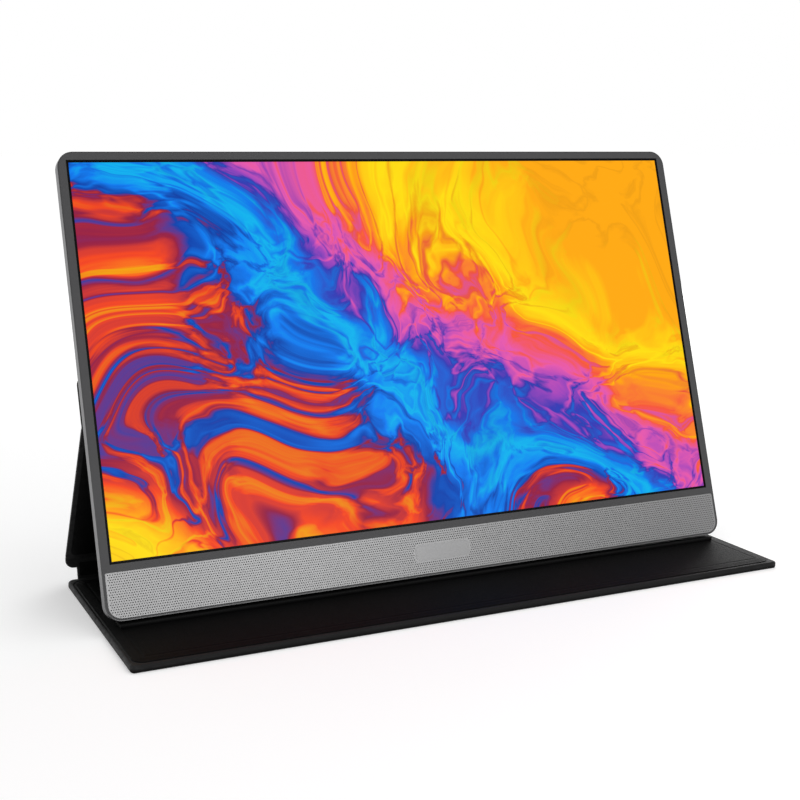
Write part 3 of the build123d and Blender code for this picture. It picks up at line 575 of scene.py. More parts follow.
casing_metal = casing()
bezel_paint = bezel()
grille_paint = metal("grille_paint", (0.275, 0.275, 0.277), roughness=0.42, metallic=0.6, scale=2400.0,
                     tone=0.10, specular=0.4)
# Painted shade: the deep faces of the blind holes are dark, standing in for the shade inside the
# perforations.
grille_hole_painted = metal("grille_hole_shade", (0.05, 0.05, 0.051), roughness=0.7, metallic=0.0, scale=2400.0,
                    tone=0.10, relief=0.05, specular=0.2)
badge_paint = metal("badge_paint", (0.255, 0.255, 0.257), roughness=0.42, metallic=0.6, scale=2600.0,
                    relief=0.1, specular=0.4)
key_metal = metal("key_metal", (0.42, 0.42, 0.43), roughness=0.32, scale=2600.0, tone=0.1)
screw_metal = metal("dark_screw_metal", (0.2, 0.2, 0.21), roughness=0.3, scale=1500.0, tone=0.2, relief=0.2)
socket_metal = metal("stamped_socket_metal", (0.62, 0.62, 0.64), roughness=0.25, scale=1800.0, tone=0.1,
                     relief=0.1)
magnet_metal = metal("plated_magnet", (0.6, 0.59, 0.57), roughness=0.22, scale=1200.0, tone=0.12, relief=0.1)
steel_sheet = metal("rolled_steel", (0.5, 0.5, 0.52), roughness=0.35, scale=900.0, tone=0.15, relief=0.15)
chassis_metal = metal("blackened_chassis_metal", (0.02, 0.02, 0.021), roughness=0.5, metallic=0.5,
                      scale=900.0, tone=0.12)
copper_sheet = metal("copper_sheet", (0.78, 0.36, 0.2), roughness=0.3, scale=1200.0, tone=0.15)
outer_leather = leather("outer_leather", (0.0105, 0.0105, 0.0107), (0.030, 0.030, 0.0305), roughness=0.55,
                        scale=1450.0, wear=0.3, relief=0.3, specular=0.11)
# Painted shadow: the outer leather turns near black below 1.2 mm, where the base's lower edge meets the
# floor.
paint_contact_shadow(outer_leather, black_to=1.2 * MM, shadow_clear_from=2.4 * MM)
lining_leather = leather("lining_leather", (0.0012, 0.0012, 0.0013), (0.004, 0.004, 0.0041), roughness=0.55,
                         scale=1900.0, wear=0.4, relief=0.3, specular=0.06)
strip_rubber = leather("strip_rubber", (0.003, 0.003, 0.0031), (0.012, 0.012, 0.0122), roughness=0.62,
                       scale=2200.0, wear=0.3, relief=0.25, specular=0.10)
screen_glass = moulded("black_screen_glass", (0.002, 0.002, 0.0022), (0.003, 0.003, 0.0033), roughness=0.4,
                       scale=3000.0, relief=0.02, specular=0.06)
black_plastic = moulded("black_moulded_plastic", (0.012, 0.012, 0.012), (0.02, 0.02, 0.02), roughness=0.45)
board_green = moulded("solder_mask_green", (0.005, 0.09, 0.03), (0.01, 0.16, 0.05), roughness=0.3,
                      scale=700.0)
foil_amber = moulded("amber_foil", (0.55, 0.2, 0.02), (0.7, 0.32, 0.05), roughness=0.3, scale=500.0)
film_white = moulded("pale_film", (0.82, 0.82, 0.84), (0.9, 0.9, 0.92), roughness=0.3, scale=2500.0)
lamp_clear = moulded("pale_lamp", (0.7, 0.72, 0.6), (0.85, 0.85, 0.75), roughness=0.2, scale=1500.0)
tape_black = moulded("black_tape", (0.01, 0.01, 0.01), (0.016, 0.016, 0.016), roughness=0.6, scale=900.0)
greyboard = moulded("pressed_greyboard", (0.26, 0.24, 0.21), (0.38, 0.36, 0.32), roughness=0.85, scale=400.0,
                    relief=0.4)
felt_pad = moulded("felt_padding", (0.02, 0.02, 0.02), (0.05, 0.05, 0.05), roughness=0.95, scale=900.0,
                   relief=0.6)
red_cover = moulded("red_lead_cover", (0.5, 0.02, 0.02), (0.6, 0.04, 0.03), roughness=0.4, scale=900.0)
cone_paper = moulded("cone_paper", (0.02, 0.02, 0.022), (0.04, 0.04, 0.045), roughness=0.7, scale=1500.0,
                     relief=0.3)
lit_picture = build_picture()

carried = {
    casing_metal: ("rear_cover",),
    bezel_paint: ("front_bezel",),
    badge_paint: ("badge_plate",),
    key_metal: ("power_button", "menu_rocker"),
    screw_metal: ("case_screws", "board_screws", "rocker_pin"),
    socket_metal: ("usb_c_ports", "mini_hdmi_port"),
    magnet_metal: ("base_magnets", "upper_panel_magnets", "left_speaker_magnet", "right_speaker_magnet"),
    steel_sheet: ("magnet_keepers",),
    chassis_metal: ("panel_chassis",),
    copper_sheet: ("heat_spreader",),
    screen_glass: ("lcd_glass",),
    lit_picture: ("polariser_film",),
    black_plastic: ("board_chips", "audio_jack", "tact_switches", "left_speaker_frame",
                    "right_speaker_frame"),
    cone_paper: ("left_speaker_cone", "right_speaker_cone"),
    board_green: ("main_board", "driver_board", "audio_board", "button_board"),
    foil_amber: ("display_flex", "display_cable"),
    film_white: ("prism_film", "diffuser_sheet", "light_guide", "reflector_sheet"),
    lamp_clear: ("led_bar", "status_light"),
    tape_black: ("panel_adhesive", "speaker_gaskets"),
    greyboard: ("base_board", "spine_board", "lower_panel_board", "upper_panel_board"),
    felt_pad: ("base_padding",),
    red_cover: ("left_speaker_lead", "right_speaker_lead"),
}
for material, names in carried.items():
    for name in names:
        node = frame["nodes"][name]
        node.data.materials.clear()
        node.data.materials.append(material)


# Grille with its perforations

HOLE_SIDES = 6
pitch_across = 1.176 * MM
pitch_up = 1.17 * MM
hole_columns = 299
hole_rows = 18
hole_radius = 0.32 * MM
hole_depth = 0.45 * MM
plain_margin = 1.05 * MM
badge_margin = 0.85 * MM
grille_bevel = 0.35 * MM
grille_shoulder = 0.3 * grille_bevel
grille_proud = 0.15 * MM
grille_seat = 0.65 * MM
grille_middle = (grille_low + grille_high) / 2

well_gap = 0.05 * MM
well_depth = 0.3 * MM
well_half = badge_width / 2 + well_gap
well_corner = badge_corner + well_gap
well_low = badge_rise - badge_height / 2 - well_gap - grille_middle
well_high = well_low + badge_height + 2 * well_gap


def rounded_outline(width, low, high, low_radius, high_radius, steps=8):
    """Points round a rounded rectangle, counterclockwise from its lower right corner."""
    half = width / 2
    corners = ((half, low, low_radius, -90), (half, high, high_radius, 0),
               (-half, high, high_radius, 90), (-half, low, low_radius, 180))
    points = []
    for x, v, radius, start in corners:
        centre_x = x - math.copysign(radius, x)
        centre_v = v + radius if v == low else v - radius
        for i in range(steps + 1):
            angle = math.radians(start + 90 * i / steps)
            points.append((centre_x + radius * math.cos(angle), centre_v + radius * math.sin(angle)))
    return points


def perforation_cell():
    """One brick of the pattern: a flat face with a six-sided blind hole in its middle."""
    half_x, half_v = pitch_across / 2, pitch_up / 2
    rim = [(-half_x, -half_v), (0, -half_v), (half_x, -half_v)]
    rim += [(half_x, half_v), (0, half_v), (-half_x, half_v)]
    turns = [math.radians(a) for a in (213, 270, 327, 33, 90, 147)]
    hole = [(hole_radius * math.cos(a), hole_radius * math.sin(a)) for a in turns]
    points = [(x, v, 0) for x, v in rim + hole] + [(x, v, -hole_depth) for x, v in hole]
    faces = []
    for i in range(HOLE_SIDES):
        j = (i + 1) % HOLE_SIDES
        faces.append((i, j, HOLE_SIDES + j, HOLE_SIDES + i))
        faces.append((HOLE_SIDES + i, HOLE_SIDES + j, 2 * HOLE_SIDES + j, 2 * HOLE_SIDES + i))
    faces.append(tuple(range(2 * HOLE_SIDES, 3 * HOLE_SIDES)))
    return new_piece("perforation_cell", points, faces)


def perforation_tree(cell, values):
    """Bricks of holes laid in staggered rows over a rounded plate, clear of its edge and badge."""
    tree = bpy.data.node_groups.new("perforations", "GeometryNodeTree")
    tree.interface.new_socket("Geometry", in_out="INPUT", socket_type="NodeSocketGeometry")
    take_inputs(tree, values)
    tree.interface.new_socket("Geometry", in_out="OUTPUT", socket_type="NodeSocketGeometry")
    entry = tree.nodes.new("NodeGroupInput")
    result = tree.nodes.new("NodeGroupOutput")
    columns, rows = entry.outputs["Columns"], entry.outputs["Rows"]
    dots = add(tree, "GeometryNodePoints")
    feed(dots, "Count", calculate("MULTIPLY", columns, rows))
    index = add(tree, "GeometryNodeInputIndex").outputs[0]
    row = calculate("FLOOR", calculate("DIVIDE", calculate("ADD", index, 0.5), columns))
    column = calculate("SUBTRACT", index, calculate("MULTIPLY", row, columns))
    middle = calculate("MULTIPLY", calculate("SUBTRACT", columns, 1.0), 0.5)
    stagger = calculate("MULTIPLY_ADD", calculate("MODULO", row, 2.0), 0.5, -0.25)
    place = calculate("ADD", calculate("SUBTRACT", column, middle), stagger)
    x = calculate("MULTIPLY", place, entry.outputs["Pitch Across"])
    level = calculate("SUBTRACT", row, calculate("MULTIPLY", calculate("SUBTRACT", rows, 1.0), 0.5))
    v = calculate("MULTIPLY", level, entry.outputs["Pitch Up"])
    where = add(tree, "ShaderNodeCombineXYZ")
    feed(where, 0, x)
    feed(where, 1, v)
    feed(dots, "Position", where.outputs[0])

    def outside(px, pv, half_x, half_v, corner):
        """How far a point lies outside a rounded rectangle."""
        dx = calculate("SUBTRACT", calculate("ABSOLUTE", px), calculate("SUBTRACT", half_x, corner))
        dv = calculate("SUBTRACT", calculate("ABSOLUTE", pv), calculate("SUBTRACT", half_v, corner))
        wide = calculate("MAXIMUM", dx, 0.0)
        tall = calculate("MAXIMUM", dv, 0.0)
        far = calculate("SQRT", calculate("MULTIPLY_ADD", wide, wide, calculate("MULTIPLY", tall, tall)))
        near = calculate("MINIMUM", calculate("MAXIMUM", dx, dv), 0.0)
        return calculate("SUBTRACT", calculate("ADD", far, near), corner)

    corner = calculate("MULTIPLY", entry.outputs["Corner"], calculate("GREATER_THAN", 0.0, v))
    past_edge = outside(x, v, entry.outputs["Half Width"], entry.outputs["Half Height"], corner)
    above_badge = calculate("SUBTRACT", v, entry.outputs["Badge Rise"])
    past_badge = outside(x, above_badge, entry.outputs["Badge Half Width"],
                         entry.outputs["Badge Half Height"], entry.outputs["Badge Corner"])
    near_badge = calculate("GREATER_THAN", 0.0, past_badge)
    drop = calculate("MAXIMUM", calculate("GREATER_THAN", past_edge, 0.0), near_badge)
    cut = add(tree, "GeometryNodeDeleteGeometry", domain="POINT")
    feed(cut, 0, dots.outputs[0])
    feed(cut, "Selection", drop)
    brick = add(tree, "GeometryNodeObjectInfo")
    feed(brick, "Object", cell)
    lay = add(tree, "GeometryNodeInstanceOnPoints")
    feed(lay, "Points", cut.outputs[0])
    feed(lay, "Instance", brick.outputs["Geometry"])
    real = add(tree, "GeometryNodeRealizeInstances")
    feed(real, 0, lay.outputs[0])
    paint = add(tree, "GeometryNodeSetMaterial")
    feed(paint, "Material", grille_paint)
    feed(paint, 0, real.outputs[0])
    height = axes_of(add(tree, "GeometryNodeInputPosition").outputs[0])[2]
    deep = calculate("GREATER_THAN", calculate("MULTIPLY", entry.outputs["Hole Depth"], -0.4), height)
    # Painted shade: faces deeper than four tenths of a hole get the dark hole finish.
    shade = add(tree, "GeometryNodeSetMaterial")
    feed(shade, "Material", grille_hole_painted)
    feed(shade, 0, paint.outputs[0])
    feed(shade, "Selection", deep)
    feed(result, 0, shade.outputs[0])
    return tree


def run_tree(holder, tree, values):
    """Runs a geometry tree with named values and returns the plain mesh that it makes."""
    modifier = holder.modifiers.new("made", "NODES")
    modifier.node_group = tree
    for item in tree.interface.items_tree:
        if item.in_out == "INPUT" and item.name in values:
            modifier[item.identifier] = values[item.name]
    bpy.context.view_layer.update()
    evaluated = holder.evaluated_get(bpy.context.evaluated_depsgraph_get())
    mesh = bpy.data.meshes.new_from_object(evaluated)
    holder.modifiers.remove(modifier)
    return mesh


def brick_of(x, v):
    """The row and column of the brick that a point of the plate falls in."""
    row = round(v / pitch_up + (hole_rows - 1) / 2)
    stagger = 0.25 if row % 2 else -0.25
    return row, round(x / pitch_across - stagger + (hole_columns - 1) / 2)


def fill_plain_face(work, edge, well):
    """Closes the plain face between the bricks, the plate's edge and the badge's well."""
    laid = {brick_of(*f.calc_center_median().xy) for f in work.faces
            if f.calc_center_median().z < -0.9 * hole_depth}
    rim_edges = [e for e in work.edges if e.is_boundary]
    rim = list({v for e in rim_edges for v in e.verts})
    place = {v: i for i, v in enumerate(rim)}
    flat = [Vector((v.co.x, v.co.y)) for v in rim]
    lines = [(place[e.verts[0]], place[e.verts[1]]) for e in rim_edges]
    for outline in (edge, well):
        start = len(flat)
        flat.extend(Vector(p) for p in outline)
        lines.extend((start + i, start + (i + 1) % len(outline)) for i in range(len(outline)))
    filled = delaunay_2d_cdt(flat, lines, [], 1, NO_LENGTH)
    points, faces = filled[0], filled[2]
    tops = [work.verts.new((p.x, p.y, 0)) for p in points]
    for face in faces:
        cx = sum(points[i].x for i in face) / len(face)
        cv = sum(points[i].y for i in face) / len(face)
        in_well = inside_by(cx, cv, well_half, well_low, well_high, well_corner) > 0
        if brick_of(cx, cv) not in laid and not in_well:
            work.faces.new([tops[i] for i in face])


def ring_of(work, outline, z):
    """Corners along an outline at one height over the plate."""
    return [work.verts.new((x, v, z)) for x, v in outline]


def wall(work, upper, lower):
    """Faces between two rings of corners."""
    count = len(upper)
    for i in range(count):
        j = (i + 1) % count
        work.faces.new((upper[i], lower[i], lower[j], upper[j]))


def plate_outline(inset):
    """The grille plate's outline, moved inwards all round."""
    width = casing_width - 2 * grille_inset
    low, high = grille_low - grille_middle, grille_high - grille_middle
    return rounded_outline(width - 2 * inset, low + inset, high - inset, grille_corner - inset,
                           grille_top_corner - inset)


def lay_perforations(holder):
    """The perforated part of the plate's face, as a plain mesh."""
    cell = perforation_cell()
    values = {"Columns": hole_columns, "Rows": hole_rows, "Pitch Across": pitch_across, "Pitch Up": pitch_up,
              "Half Width": casing_width / 2 - grille_inset - plain_margin,
              "Half Height": grille_high - grille_middle - plain_margin,
              "Corner": grille_corner - plain_margin,
              "Badge Half Width": badge_width / 2 + badge_margin,
              "Badge Half Height": badge_height / 2 + badge_margin,
              "Badge Corner": badge_corner + badge_margin,
              "Badge Rise": badge_rise - grille_middle, "Hole Depth": hole_depth}
    laid = run_tree(holder, perforation_tree(cell, values), values)
    bpy.data.objects.remove(cell)
    return laid


def build_grille():
    """The perforated plate with its bevelled edge and the shallow well round the badge."""
    holder = new_piece("speaker_grille_plate", [(0, 0, 0)], [])
    laid = lay_perforations(holder)
    finishes = list(laid.materials)
    work = bmesh.new()
    work.from_mesh(laid)
    bricks = len(work.faces)
    merge(work)
    well = rounded_outline(2 * well_half, well_low, well_high, well_corner, well_corner, steps=6)
    edge, outer = plate_outline(grille_bevel), plate_outline(0.0)
    fill_plain_face(work, edge, well)
    rings = [ring_of(work, edge, 0.0), ring_of(work, plate_outline(grille_shoulder), -grille_shoulder),
             ring_of(work, outer, -grille_bevel), ring_of(work, outer, -grille_proud - grille_seat)]
    for upper, lower in zip(rings, rings[1:]):
        wall(work, upper, lower)
    work.faces.new(list(reversed(rings[-1])))
    well_rim, well_floor = ring_of(work, well, 0.0), ring_of(work, well, -well_depth)
    wall(work, well_rim, well_floor)
    work.faces.new(well_floor)
    merge(work)
    for vert in [v for v in work.verts if not v.link_faces]:
        work.verts.remove(vert)
    for vert in work.verts:
        x, v, z = vert.co
        vert.co = on_monitor(x, v + grille_middle, -grille_proud - z)
    work.faces.ensure_lookup_table()
    for face in work.faces[bricks:]:
        face.material_index = finishes.index(grille_paint)
    bmesh.ops.recalc_face_normals(work, faces=work.faces)
    mesh = bpy.data.meshes.new("speaker_grille_plate")
    for finish in finishes:
        mesh.materials.append(finish)
    work.to_mesh(mesh)
    work.free()
    holder.data = mesh
    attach(holder, "monitor")
    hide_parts("speaker_grille")


build_grille()

# Leather cover: runs of sections across the sheet, each (place, angle, half width, low, high)

ARC_STEPS = (0, 10, 20, 32, 45, 60, 75, 90)
EDGE_TURNS = [math.radians(a) for a in (67.5, 45, 22.5, 0)]
BASE_WAVES, LEAF_WAVES, PANEL_WAVES = 1.0, 2.0, 3.0
fold_steps = 6
fine_columns = 60
field_step = 4.0 * MM
fine_step = 0.5 * MM
edge_steps = in_mm(0.4, 0.8, 1.2, 1.5, 1.8, 2.1, 2.4, 2.7, 3.0, 3.5, 4.0, 4.6, 5.2, 5.8, 6.4, 7.0, 7.6, 8.4)
lining_steps = in_mm(0.3, 0.6, 1.0, 1.5, 2.2, 3.0, 4.0, 4.8, 5.2, 5.6, 6.0, 6.4, 7.2)

wear_reach = 1.2 * MM
groove_depth = 0.42 * MM
groove_width = 0.45 * MM
groove_offset = 0.3 * MM
sag_height = 0.05 * MM
broad_waves = in_mm(45, 30)
small_waves = in_mm(14, 11)
small_share = 0.45
fade_reach = 4.0 * MM
lining_slope = 5.6 * MM
lining_drop = 0.34 * MM
lining_under = 3.2 * MM
crease_depth = 0.22 * MM
crease_width = 0.45 * MM
base_fold_radius = 1.5 * MM
panel_fold_radius = 2.0 * MM
blend_reach = 1.6 * MM


def sag(x, s, seed):
    """The slight unevenness of leather glued over a board, fading out towards its side edges."""
    broad = field_noise.noise(Vector((x / broad_waves[0], s / broad_waves[1], seed)))
    small = field_noise.noise(Vector((x / small_waves[0], s / small_waves[1], seed + 7)))
    fade = max(min((leaf_half - abs(x)) / fade_reach, 1.0), 0.0)
    return sag_height * fade * (broad + small_share * small)


def quarter(radius):
    """How far in from an edge each step of a rounded edge or corner lies."""
    return [radius * (1 - math.cos(math.radians(a))) for a in ARC_STEPS]


def corner_inset(distance, radius):
    """How much narrower a plate is at a distance from its end, for its rounded corner."""
    if distance >= radius:
        return 0.0
    return radius - math.sqrt(max(radius * radius - (radius - distance) ** 2, 0.0))


def across_places(half, fine, columns):
    """Even places across a sheet, closer together where its edges have detail."""
    even = every(-half, 2 * half / columns, columns + 1)
    near = [side * (half - f) for f in fine for side in (-1, 1)]
    return sorted(set(round(x, 7) for x in even + near))


def cross_section(section, corner, places, top):
    """Points round one section of a sheet: upper side, right edge, underside, left edge."""
    place, angle, half, low, high = section
    corner = max(min(corner, 0.45 * (high - low)), MERGE_WITHIN / 2)
    flat = half - corner
    xs = [max(-flat, min(flat, x)) for x in places]

    def edge(side):
        upper = high + top(side * flat)
        out_and_up = [(flat + corner * math.cos(a), corner - corner * math.sin(a)) for a in EDGE_TURNS]
        points = [(x, upper - drop) for x, drop in out_and_up]
        points += [(x, low + lift) for x, lift in reversed(out_and_up)]
        return [(side * x, h) for x, h in points]

    points = [(x, high + top(x)) for x in xs] + edge(1) + [(x, low) for x in reversed(xs)]
    points += list(reversed(edge(-1)))
    sin, cos = math.sin(angle), math.cos(angle)
    return [Vector((x, place[0] - sin * h, place[1] + cos * h)) for x, h in points]


def sheet_run(name, sections, corner, top, columns=44, fine=()):
    """A continuous run of a sheet through its sections, with rounded side edges."""
    places = across_places(max(section[2] for section in sections), fine, columns)
    rings, wear = [], []
    travelled, previous = 0.0, sections[0][0]
    for section in sections:
        place, half = section[0], section[2]
        travelled += math.hypot(place[0] - previous[0], place[1] - previous[1])
        previous = place
        ring = cross_section(section, corner, places, lambda x, y=place[0], s=travelled: top(x, y, s))
        rings.append(ring)
        wear.append([math.exp(-max(half - abs(p.x), 0.0) / wear_reach) for p in ring])
    return loft(name, rings, wear)


def fold_sections(place, before, after, radius, half):
    """Thin sections of the sheet along the arc that turns it through a fold."""
    turn = after - before
    signed = math.copysign(radius, turn)
    start = along(place, before, -radius * math.tan(abs(turn) / 2))
    centre = (start[0] - signed * math.sin(before), start[1] + signed * math.cos(before))
    sections = []
    for i in range(fold_steps + 1):
        angle = before + turn * i / fold_steps
        spot = (centre[0] + signed * math.sin(angle), centre[1] - signed * math.cos(angle))
        sections.append((spot, angle, half, -fold_sheet, fold_sheet))
    return sections


def leaf_section(fold, angle, distance, half):
    return (along(fold, angle, distance), angle, half, leaf_outer, leaf_inner)


def base_top(x, y, s):
    """The hem's upper side: uneven, with a groove round the raised lining."""
    inside = inside_by(x, y, lining_half, lining_front, lining_back, lining_corner)
    groove = groove_depth * math.exp(-((inside + groove_offset) / groove_width) ** 2)
    return 0.6 * sag(x, y, BASE_WAVES) - groove


def lining_surface(x, y, s):
    """The base lining's upper side: a padded field inside a pressed crease, sloping down to its edge."""
    inside = max(inside_by(x, y, lining_half, lining_front, lining_back, lining_corner), 0.0)
    share = min(inside / lining_slope, 1.0)
    slope = lining_drop * (1.0 - share * share * (3.0 - 2.0 * share))
    crease = crease_depth * math.exp(-((inside - lining_slope) / crease_width) ** 2)
    return 0.8 * sag(x, y, BASE_WAVES) - slope - crease


def leaf_surface(x, y, s):
    return sag(x, s, LEAF_WAVES)


def panel_surface(x, y, s):
    return sag(x, s, PANEL_WAVES)


def base_stations():
    """Where the base leaf's sections lie: closer together at its edges and along the lining's slopes."""
    from_front = quarter(base_edge_round) + quarter(base_front_corner)
    from_front += in_mm(2.0, 2.4, 2.6, 2.8, 3.0, 3.3, 3.7) + every(4.2 * MM, fine_step, 12)
    from_back = every(12.5 * MM, -fine_step, 14) + quarter(base_back_corner)
    places = [d - base_end for d in from_front] + [base_end - d for d in from_back]
    places += every(-56 * MM, field_step, 28) + [lining_back + d for d in in_mm(-0.3, 0.0, 0.3, 0.6, 0.9)]
    last = base_end - 0.45 * MM
    return sorted(set(round(y, 7) for y in places if y < last))


def base_sections():
    """Sections of the base leaf from its front edge to the thin web behind it."""
    back_offset = 0.05 * MM
    under_share = 0.35
    sections = []
    for y in base_stations():
        from_front, from_back = y + base_end, base_end - y
        half = base_half - corner_inset(from_front, base_front_corner)
        half -= corner_inset(from_back, base_back_corner)
        lift = corner_inset(from_front, base_edge_round)
        drop = corner_inset(from_back + back_offset, base_edge_round)
        sections.append(((y, 0.0), 0.0, half, lift + under_share * drop, base_height - lift - drop))
    web = (1.1 * MM, 0.0, web_middle - fold_sheet, web_middle + fold_sheet)
    narrowing = (in_mm(-0.4, 2.2, 0.3, 2.9), in_mm(-0.25, 2.1, 0.42, 2.3), in_mm(0.0, 1.0, 0.48, 1.85),
                 in_mm(0.4, 0.0, 0.5, 1.66), web)
    for past_end, wider, low, high in narrowing:
        sections.append(((base_end + past_end, 0.0), 0.0, web_half + wider, low, high))
    return sections


def ear_half_width(distance):
    """Half the width of the spine's full-width end, at a distance along the spine."""
    return leaf_half - corner_inset(distance - spine_length + ear_length, ear_corner)


def base_leather():
    """The base leaf's leather, its web and the first half of the spine's."""
    sections = base_sections() + fold_sections(fold_1, 0.0, spine_angle, base_fold_radius, web_half)
    distances = in_mm(2.6, 4.0) + [spine_length / 2]
    sections += [leaf_section(fold_1, spine_angle, d, web_half) for d in distances]
    return sheet_run("base_outer_leather", sections, base_edge_round, base_top, fine_columns, edge_steps)


def spine_leather():
    """The spine's second half with its wider end, and the first half of the lower panel's leather."""
    ears = spine_length - ear_length
    distances = (spine_length / 2, ears - 0.4 * MM, ears - 0.02 * MM)
    sections = [leaf_section(fold_1, spine_angle, d, web_half) for d in distances]
    for d in [ears + q for q in quarter(ear_corner)[:-1]]:
        sections.append(leaf_section(fold_1, spine_angle, d, ear_half_width(d)))
    sections += fold_sections(fold_2, spine_angle, lower_angle, panel_fold_radius, leaf_half)
    distances = in_mm(2.4, 4, 7, 11, 16) + every(20 * MM, field_step, 7) + [lower_length / 2]
    sections += [leaf_section(fold_2, lower_angle, d, leaf_half) for d in distances]
    return sheet_run("spine_outer_leather", sections, leaf_round, leaf_surface)


def panel_leather():
    """The second half of the lower panel's leather and the whole upper panel's."""
    distances = every(lower_length / 2, field_step, 12) + [lower_length - 2.2 * MM]
    sections = [leaf_section(fold_2, lower_angle, d, leaf_half) for d in distances]
    sections += fold_sections(fold_3, lower_angle, upper_angle, panel_fold_radius, leaf_half)
    sections += [leaf_section(fold_3, upper_angle, d, leaf_half) for d in in_mm(2.2, 5, 8, 12, 16, 19)]
    for d in sorted(set(quarter(leaf_high_corner) + quarter(leaf_round)), reverse=True):
        half = leaf_half - corner_inset(d, leaf_high_corner)
        thinner = corner_inset(d, leaf_round)
        place = along(fold_3, upper_angle, upper_length - d)
        sections.append((place, upper_angle, half, leaf_outer + thinner, leaf_inner - thinner))
    return sheet_run("panel_outer_leather", sections, leaf_round, panel_surface)


def lining_sections(fold, angle, start, end, half, low, high, corner, lip, near_ends=()):
    """Sections of a lining sheet with rounded corners and a rounded lip all round."""
    rounds = quarter(corner) + quarter(lip)
    span = end - start - 2 * corner
    steps = max(int(span / field_step), 2)
    rounds += near_ends
    distances = [start + d for d in rounds] + [end - d for d in rounds]
    distances += [start + corner + span * i / steps for i in range(1, steps)]
    sections = []
    for d in sorted(set(round(d, 7) for d in distances)):
        width = half - corner_inset(d - start, corner) - corner_inset(end - d, corner)
        edge = corner_inset(d - start, lip) + corner_inset(end - d, lip)
        sections.append((along(fold, angle, d), angle, width, low, high - edge))
    return sections


def stop_strip():
    """The soft strip whose lip and seat hold the monitor's lower edge, worked out in millimetres."""
    foot, half = monitor_foot[0] / MM, strip_half / MM
    bottom, end_round = 4.05, 0.55
    profile = [(-1.4, bottom), (-1.4, 5.45), (-1.32, 5.7), (-1.15, 5.88), (-0.9, 5.95), (1.3, 5.95),
               (1.55, 5.9), (1.8, 5.75), (2.2, 5.42), (2.5, 5.27), (2.8, 5.25), (9.5, 5.25), (9.8, 5.17),
               (9.95, 5.0), (10.0, 4.75), (10.0, bottom)]
    middle = foot + (profile[0][0] + profile[-1][0]) / 2
    softness, wave_across, wave_along = 0.035, 18, 6
    ends = [0.0, 0.06, 0.16, 0.32, end_round]
    xs = [e - half for e in ends] + every(-168.0, 6.0, 57) + [half - e for e in reversed(ends)]
    rings = []
    for x in xs:
        pull = corner_inset(half - abs(x), end_round)
        ring = []
        for behind, z in profile:
            y = foot + behind
            wave = Vector((x / wave_across, y / wave_along, 3))
            soft = softness * field_noise.noise(wave) if z > bottom else 0
            rise = (z - bottom) * (1 - pull / 3) + soft
            ring.append(Vector((x, middle + (y - middle) * (1 - pull / 8), bottom + rise)) * MM)
        rings.append(ring)
    return loft("stop_strip_lip", rings)


for piece, bodies, nodes, fold, before, after in (
        (base_leather(), ("base", "spine"), ("base_skin",), fold_1, 0.0, spine_angle),
        (spine_leather(), ("spine", "lower_panel"), ("spine_skin",), fold_2, spine_angle, lower_angle),
        (panel_leather(), ("lower_panel", "upper_panel"), ("lower_panel_skin", "upper_panel_skin"), fold_3,
         lower_angle, upper_angle)):
    dress(piece, outer_leather, nodes)
    start, end = along(fold, before, -blend_reach), along(fold, after, blend_reach)
    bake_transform(piece)

sections = lining_sections((0.0, 0.0), 0.0, lining_front, lining_back, lining_half, lining_under,
                           lining_height, lining_corner, lining_lip, lining_steps)
base_lining = sheet_run("base_lining", sections, lining_lip, lining_surface, fine_columns, lining_steps)
dress(base_lining, lining_leather, ("base_liner",), "base")

leaf_lining_under = 0.3 * MM
leaf_lining_over = leaf_lining - 0.04 * MM
leaf_lining_lip = 0.15 * MM
leaf_linings = (
    ("spine_lining", "spine_liner", "spine", fold_1, spine_angle, spine_length, web_half, spine_lining_inset,
     0.8 * MM),
    ("lower_panel_lining", "lower_panel_liner", "lower_panel", fold_2, lower_angle, lower_length,
     leaf_half, leaf_lining_inset, 3.0 * MM),
    ("upper_panel_lining", "upper_panel_liner", "upper_panel", fold_3, upper_angle,
     upper_length + leaf_start, leaf_half, leaf_lining_inset, 2.0 * MM),
)
for name, node, body, fold, angle, end, half, inset, corner in leaf_linings:
    sections = lining_sections(fold, angle, leaf_start + inset, end - leaf_start - inset, half - inset,
                               leaf_lining_under, leaf_lining_over, corner, leaf_lining_lip)
    piece = sheet_run(name, sections, leaf_lining_lip, leaf_surface)
    dress(piece, lining_leather, (node,), body)

dress(stop_strip(), strip_rubber, ("stop_strip",), "base")

# Camera, floor and light

camera_place = (-0.3108, -0.6185, 0.2239)
camera_pitch = math.radians(79.551)
camera_heading = math.radians(-25.362)
camera_lens = 60.66
camera_sensor = 36
floor_reach = 60
floor_tone = 0.80
near_glow, far_glow = 0.34, 0.56
glow_from, glow_to = 0.45, 1.9
sky_light = 0.60
room_light = 0.50
room_turn = 0.3

camera_data = bpy.data.cameras.new("viewer")
camera_data.lens = camera_lens
camera_data.sensor_width = camera_sensor
camera = bpy.data.objects.new("viewer", camera_data)
camera.location = camera_place
camera.rotation_euler = (camera_pitch, 0, camera_heading)
scene.collection.objects.link(camera)
scene.camera = camera
scene.view_settings.view_transform = "Standard"


def mirrored_ray(path):
    """1 for a ray that reaches the surroundings by way of a gloss or a clear piece, else 0."""
    return calculate("MAXIMUM", path.outputs["Is Glossy Ray"], path.outputs["Is Transmission Ray"])


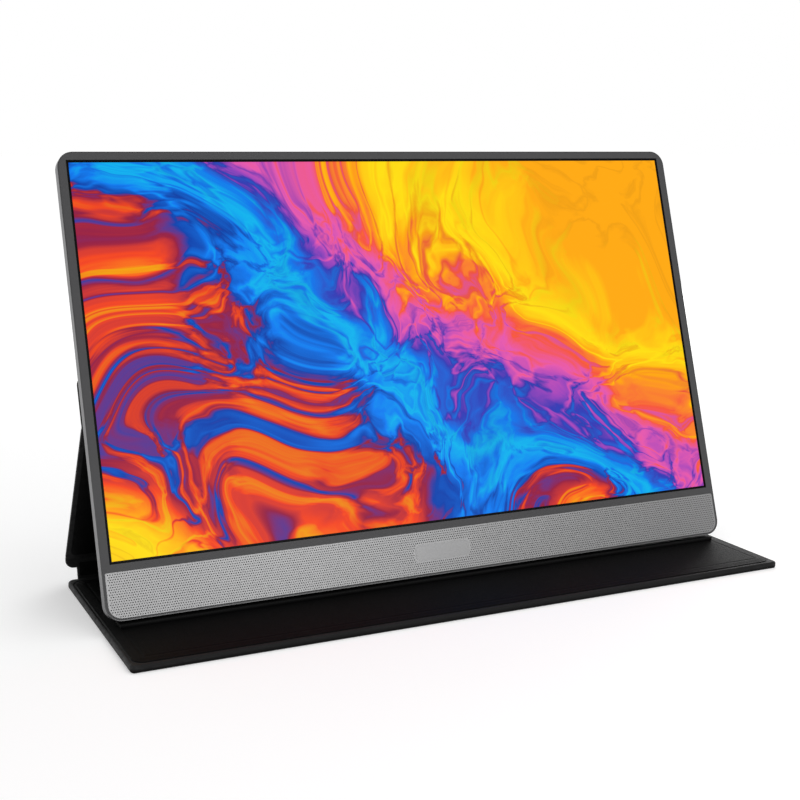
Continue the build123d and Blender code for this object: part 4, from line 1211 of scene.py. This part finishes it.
def white_floor_material():
    """A pale floor with a glow of its own that grows with distance, as a white sweep looks."""
    material, tree, shader = new_material("pale_floor")
    tree.nodes.remove(shader)
    matt = add(tree, "ShaderNodeBsdfDiffuse")
    feed(matt, "Color", (floor_tone, floor_tone, floor_tone, 1))
    glow = add(tree, "ShaderNodeEmission")
    path = add(tree, "ShaderNodeLightPath")
    seen = calculate("MAXIMUM", path.outputs["Is Camera Ray"], mirrored_ray(path))
    away = calculate_vector("LENGTH", object_coordinates(tree))
    level = remap(away, glow_from, glow_to, near_glow, far_glow)
    feed(glow, "Strength", calculate("MULTIPLY", seen, level))
    both = add(tree, "ShaderNodeAddShader")
    feed(both, 0, matt.outputs[0])
    feed(both, 1, glow.outputs[0])
    feed(tree.nodes["Material Output"], "Surface", both.outputs[0])
    return material


floor_corners = [(x * floor_reach, y * floor_reach, 0) for x, y in ((-1, -1), (1, -1), (1, 1), (-1, 1))]
floor = new_piece("floor", floor_corners, [(0, 1, 2, 3)])
floor.data.materials.append(white_floor_material())

world = bpy.data.worlds.new("studio")
scene.world = world
world.use_nodes = True
sky = world.node_tree
backdrop = sky.nodes["Background"]
sky_path = add(sky, "ShaderNodeLightPath")
away_from_viewer = axes_of(add(sky, "ShaderNodeTexCoord").outputs["Generated"])[1]
room = remap(away_from_viewer, -room_turn, room_turn, room_light - sky_light, 1.0 - sky_light)
mirrored = calculate("MULTIPLY_ADD", mirrored_ray(sky_path), room, sky_light)
sky_strength = calculate("MAXIMUM", mirrored, sky_path.outputs["Is Camera Ray"])
feed(backdrop, "Strength", sky_strength)
feed(backdrop, "Color", (1, 1, 1, 1))


def soft_light(name, where, aim, size, power):
    data = bpy.data.lights.new(name, "AREA")
    data.shape = "RECTANGLE"
    data.size, data.size_y = size
    data.energy = power
    light = bpy.data.objects.new(name, data)
    light.location = where
    light.rotation_euler = (Vector(aim) - Vector(where)).to_track_quat("-Z", "Y").to_euler()
    scene.collection.objects.link(light)


soft_light("front_softbox", (0.25, -1.20, 0.40), aim=(-0.05, 0, 0.06), size=(0.7, 0.4), power=4.5)
soft_light("top_softbox", (0.5, -0.3, 1.6), aim=(0, 0, 0), size=(1.2, 1.2), power=5)
soft_light("back_softbox", (0.95, 1.15, 0.55), aim=(0.1, -0.05, 0), size=(1.0, 1.0), power=8)

bpy.context.view_layer.update()
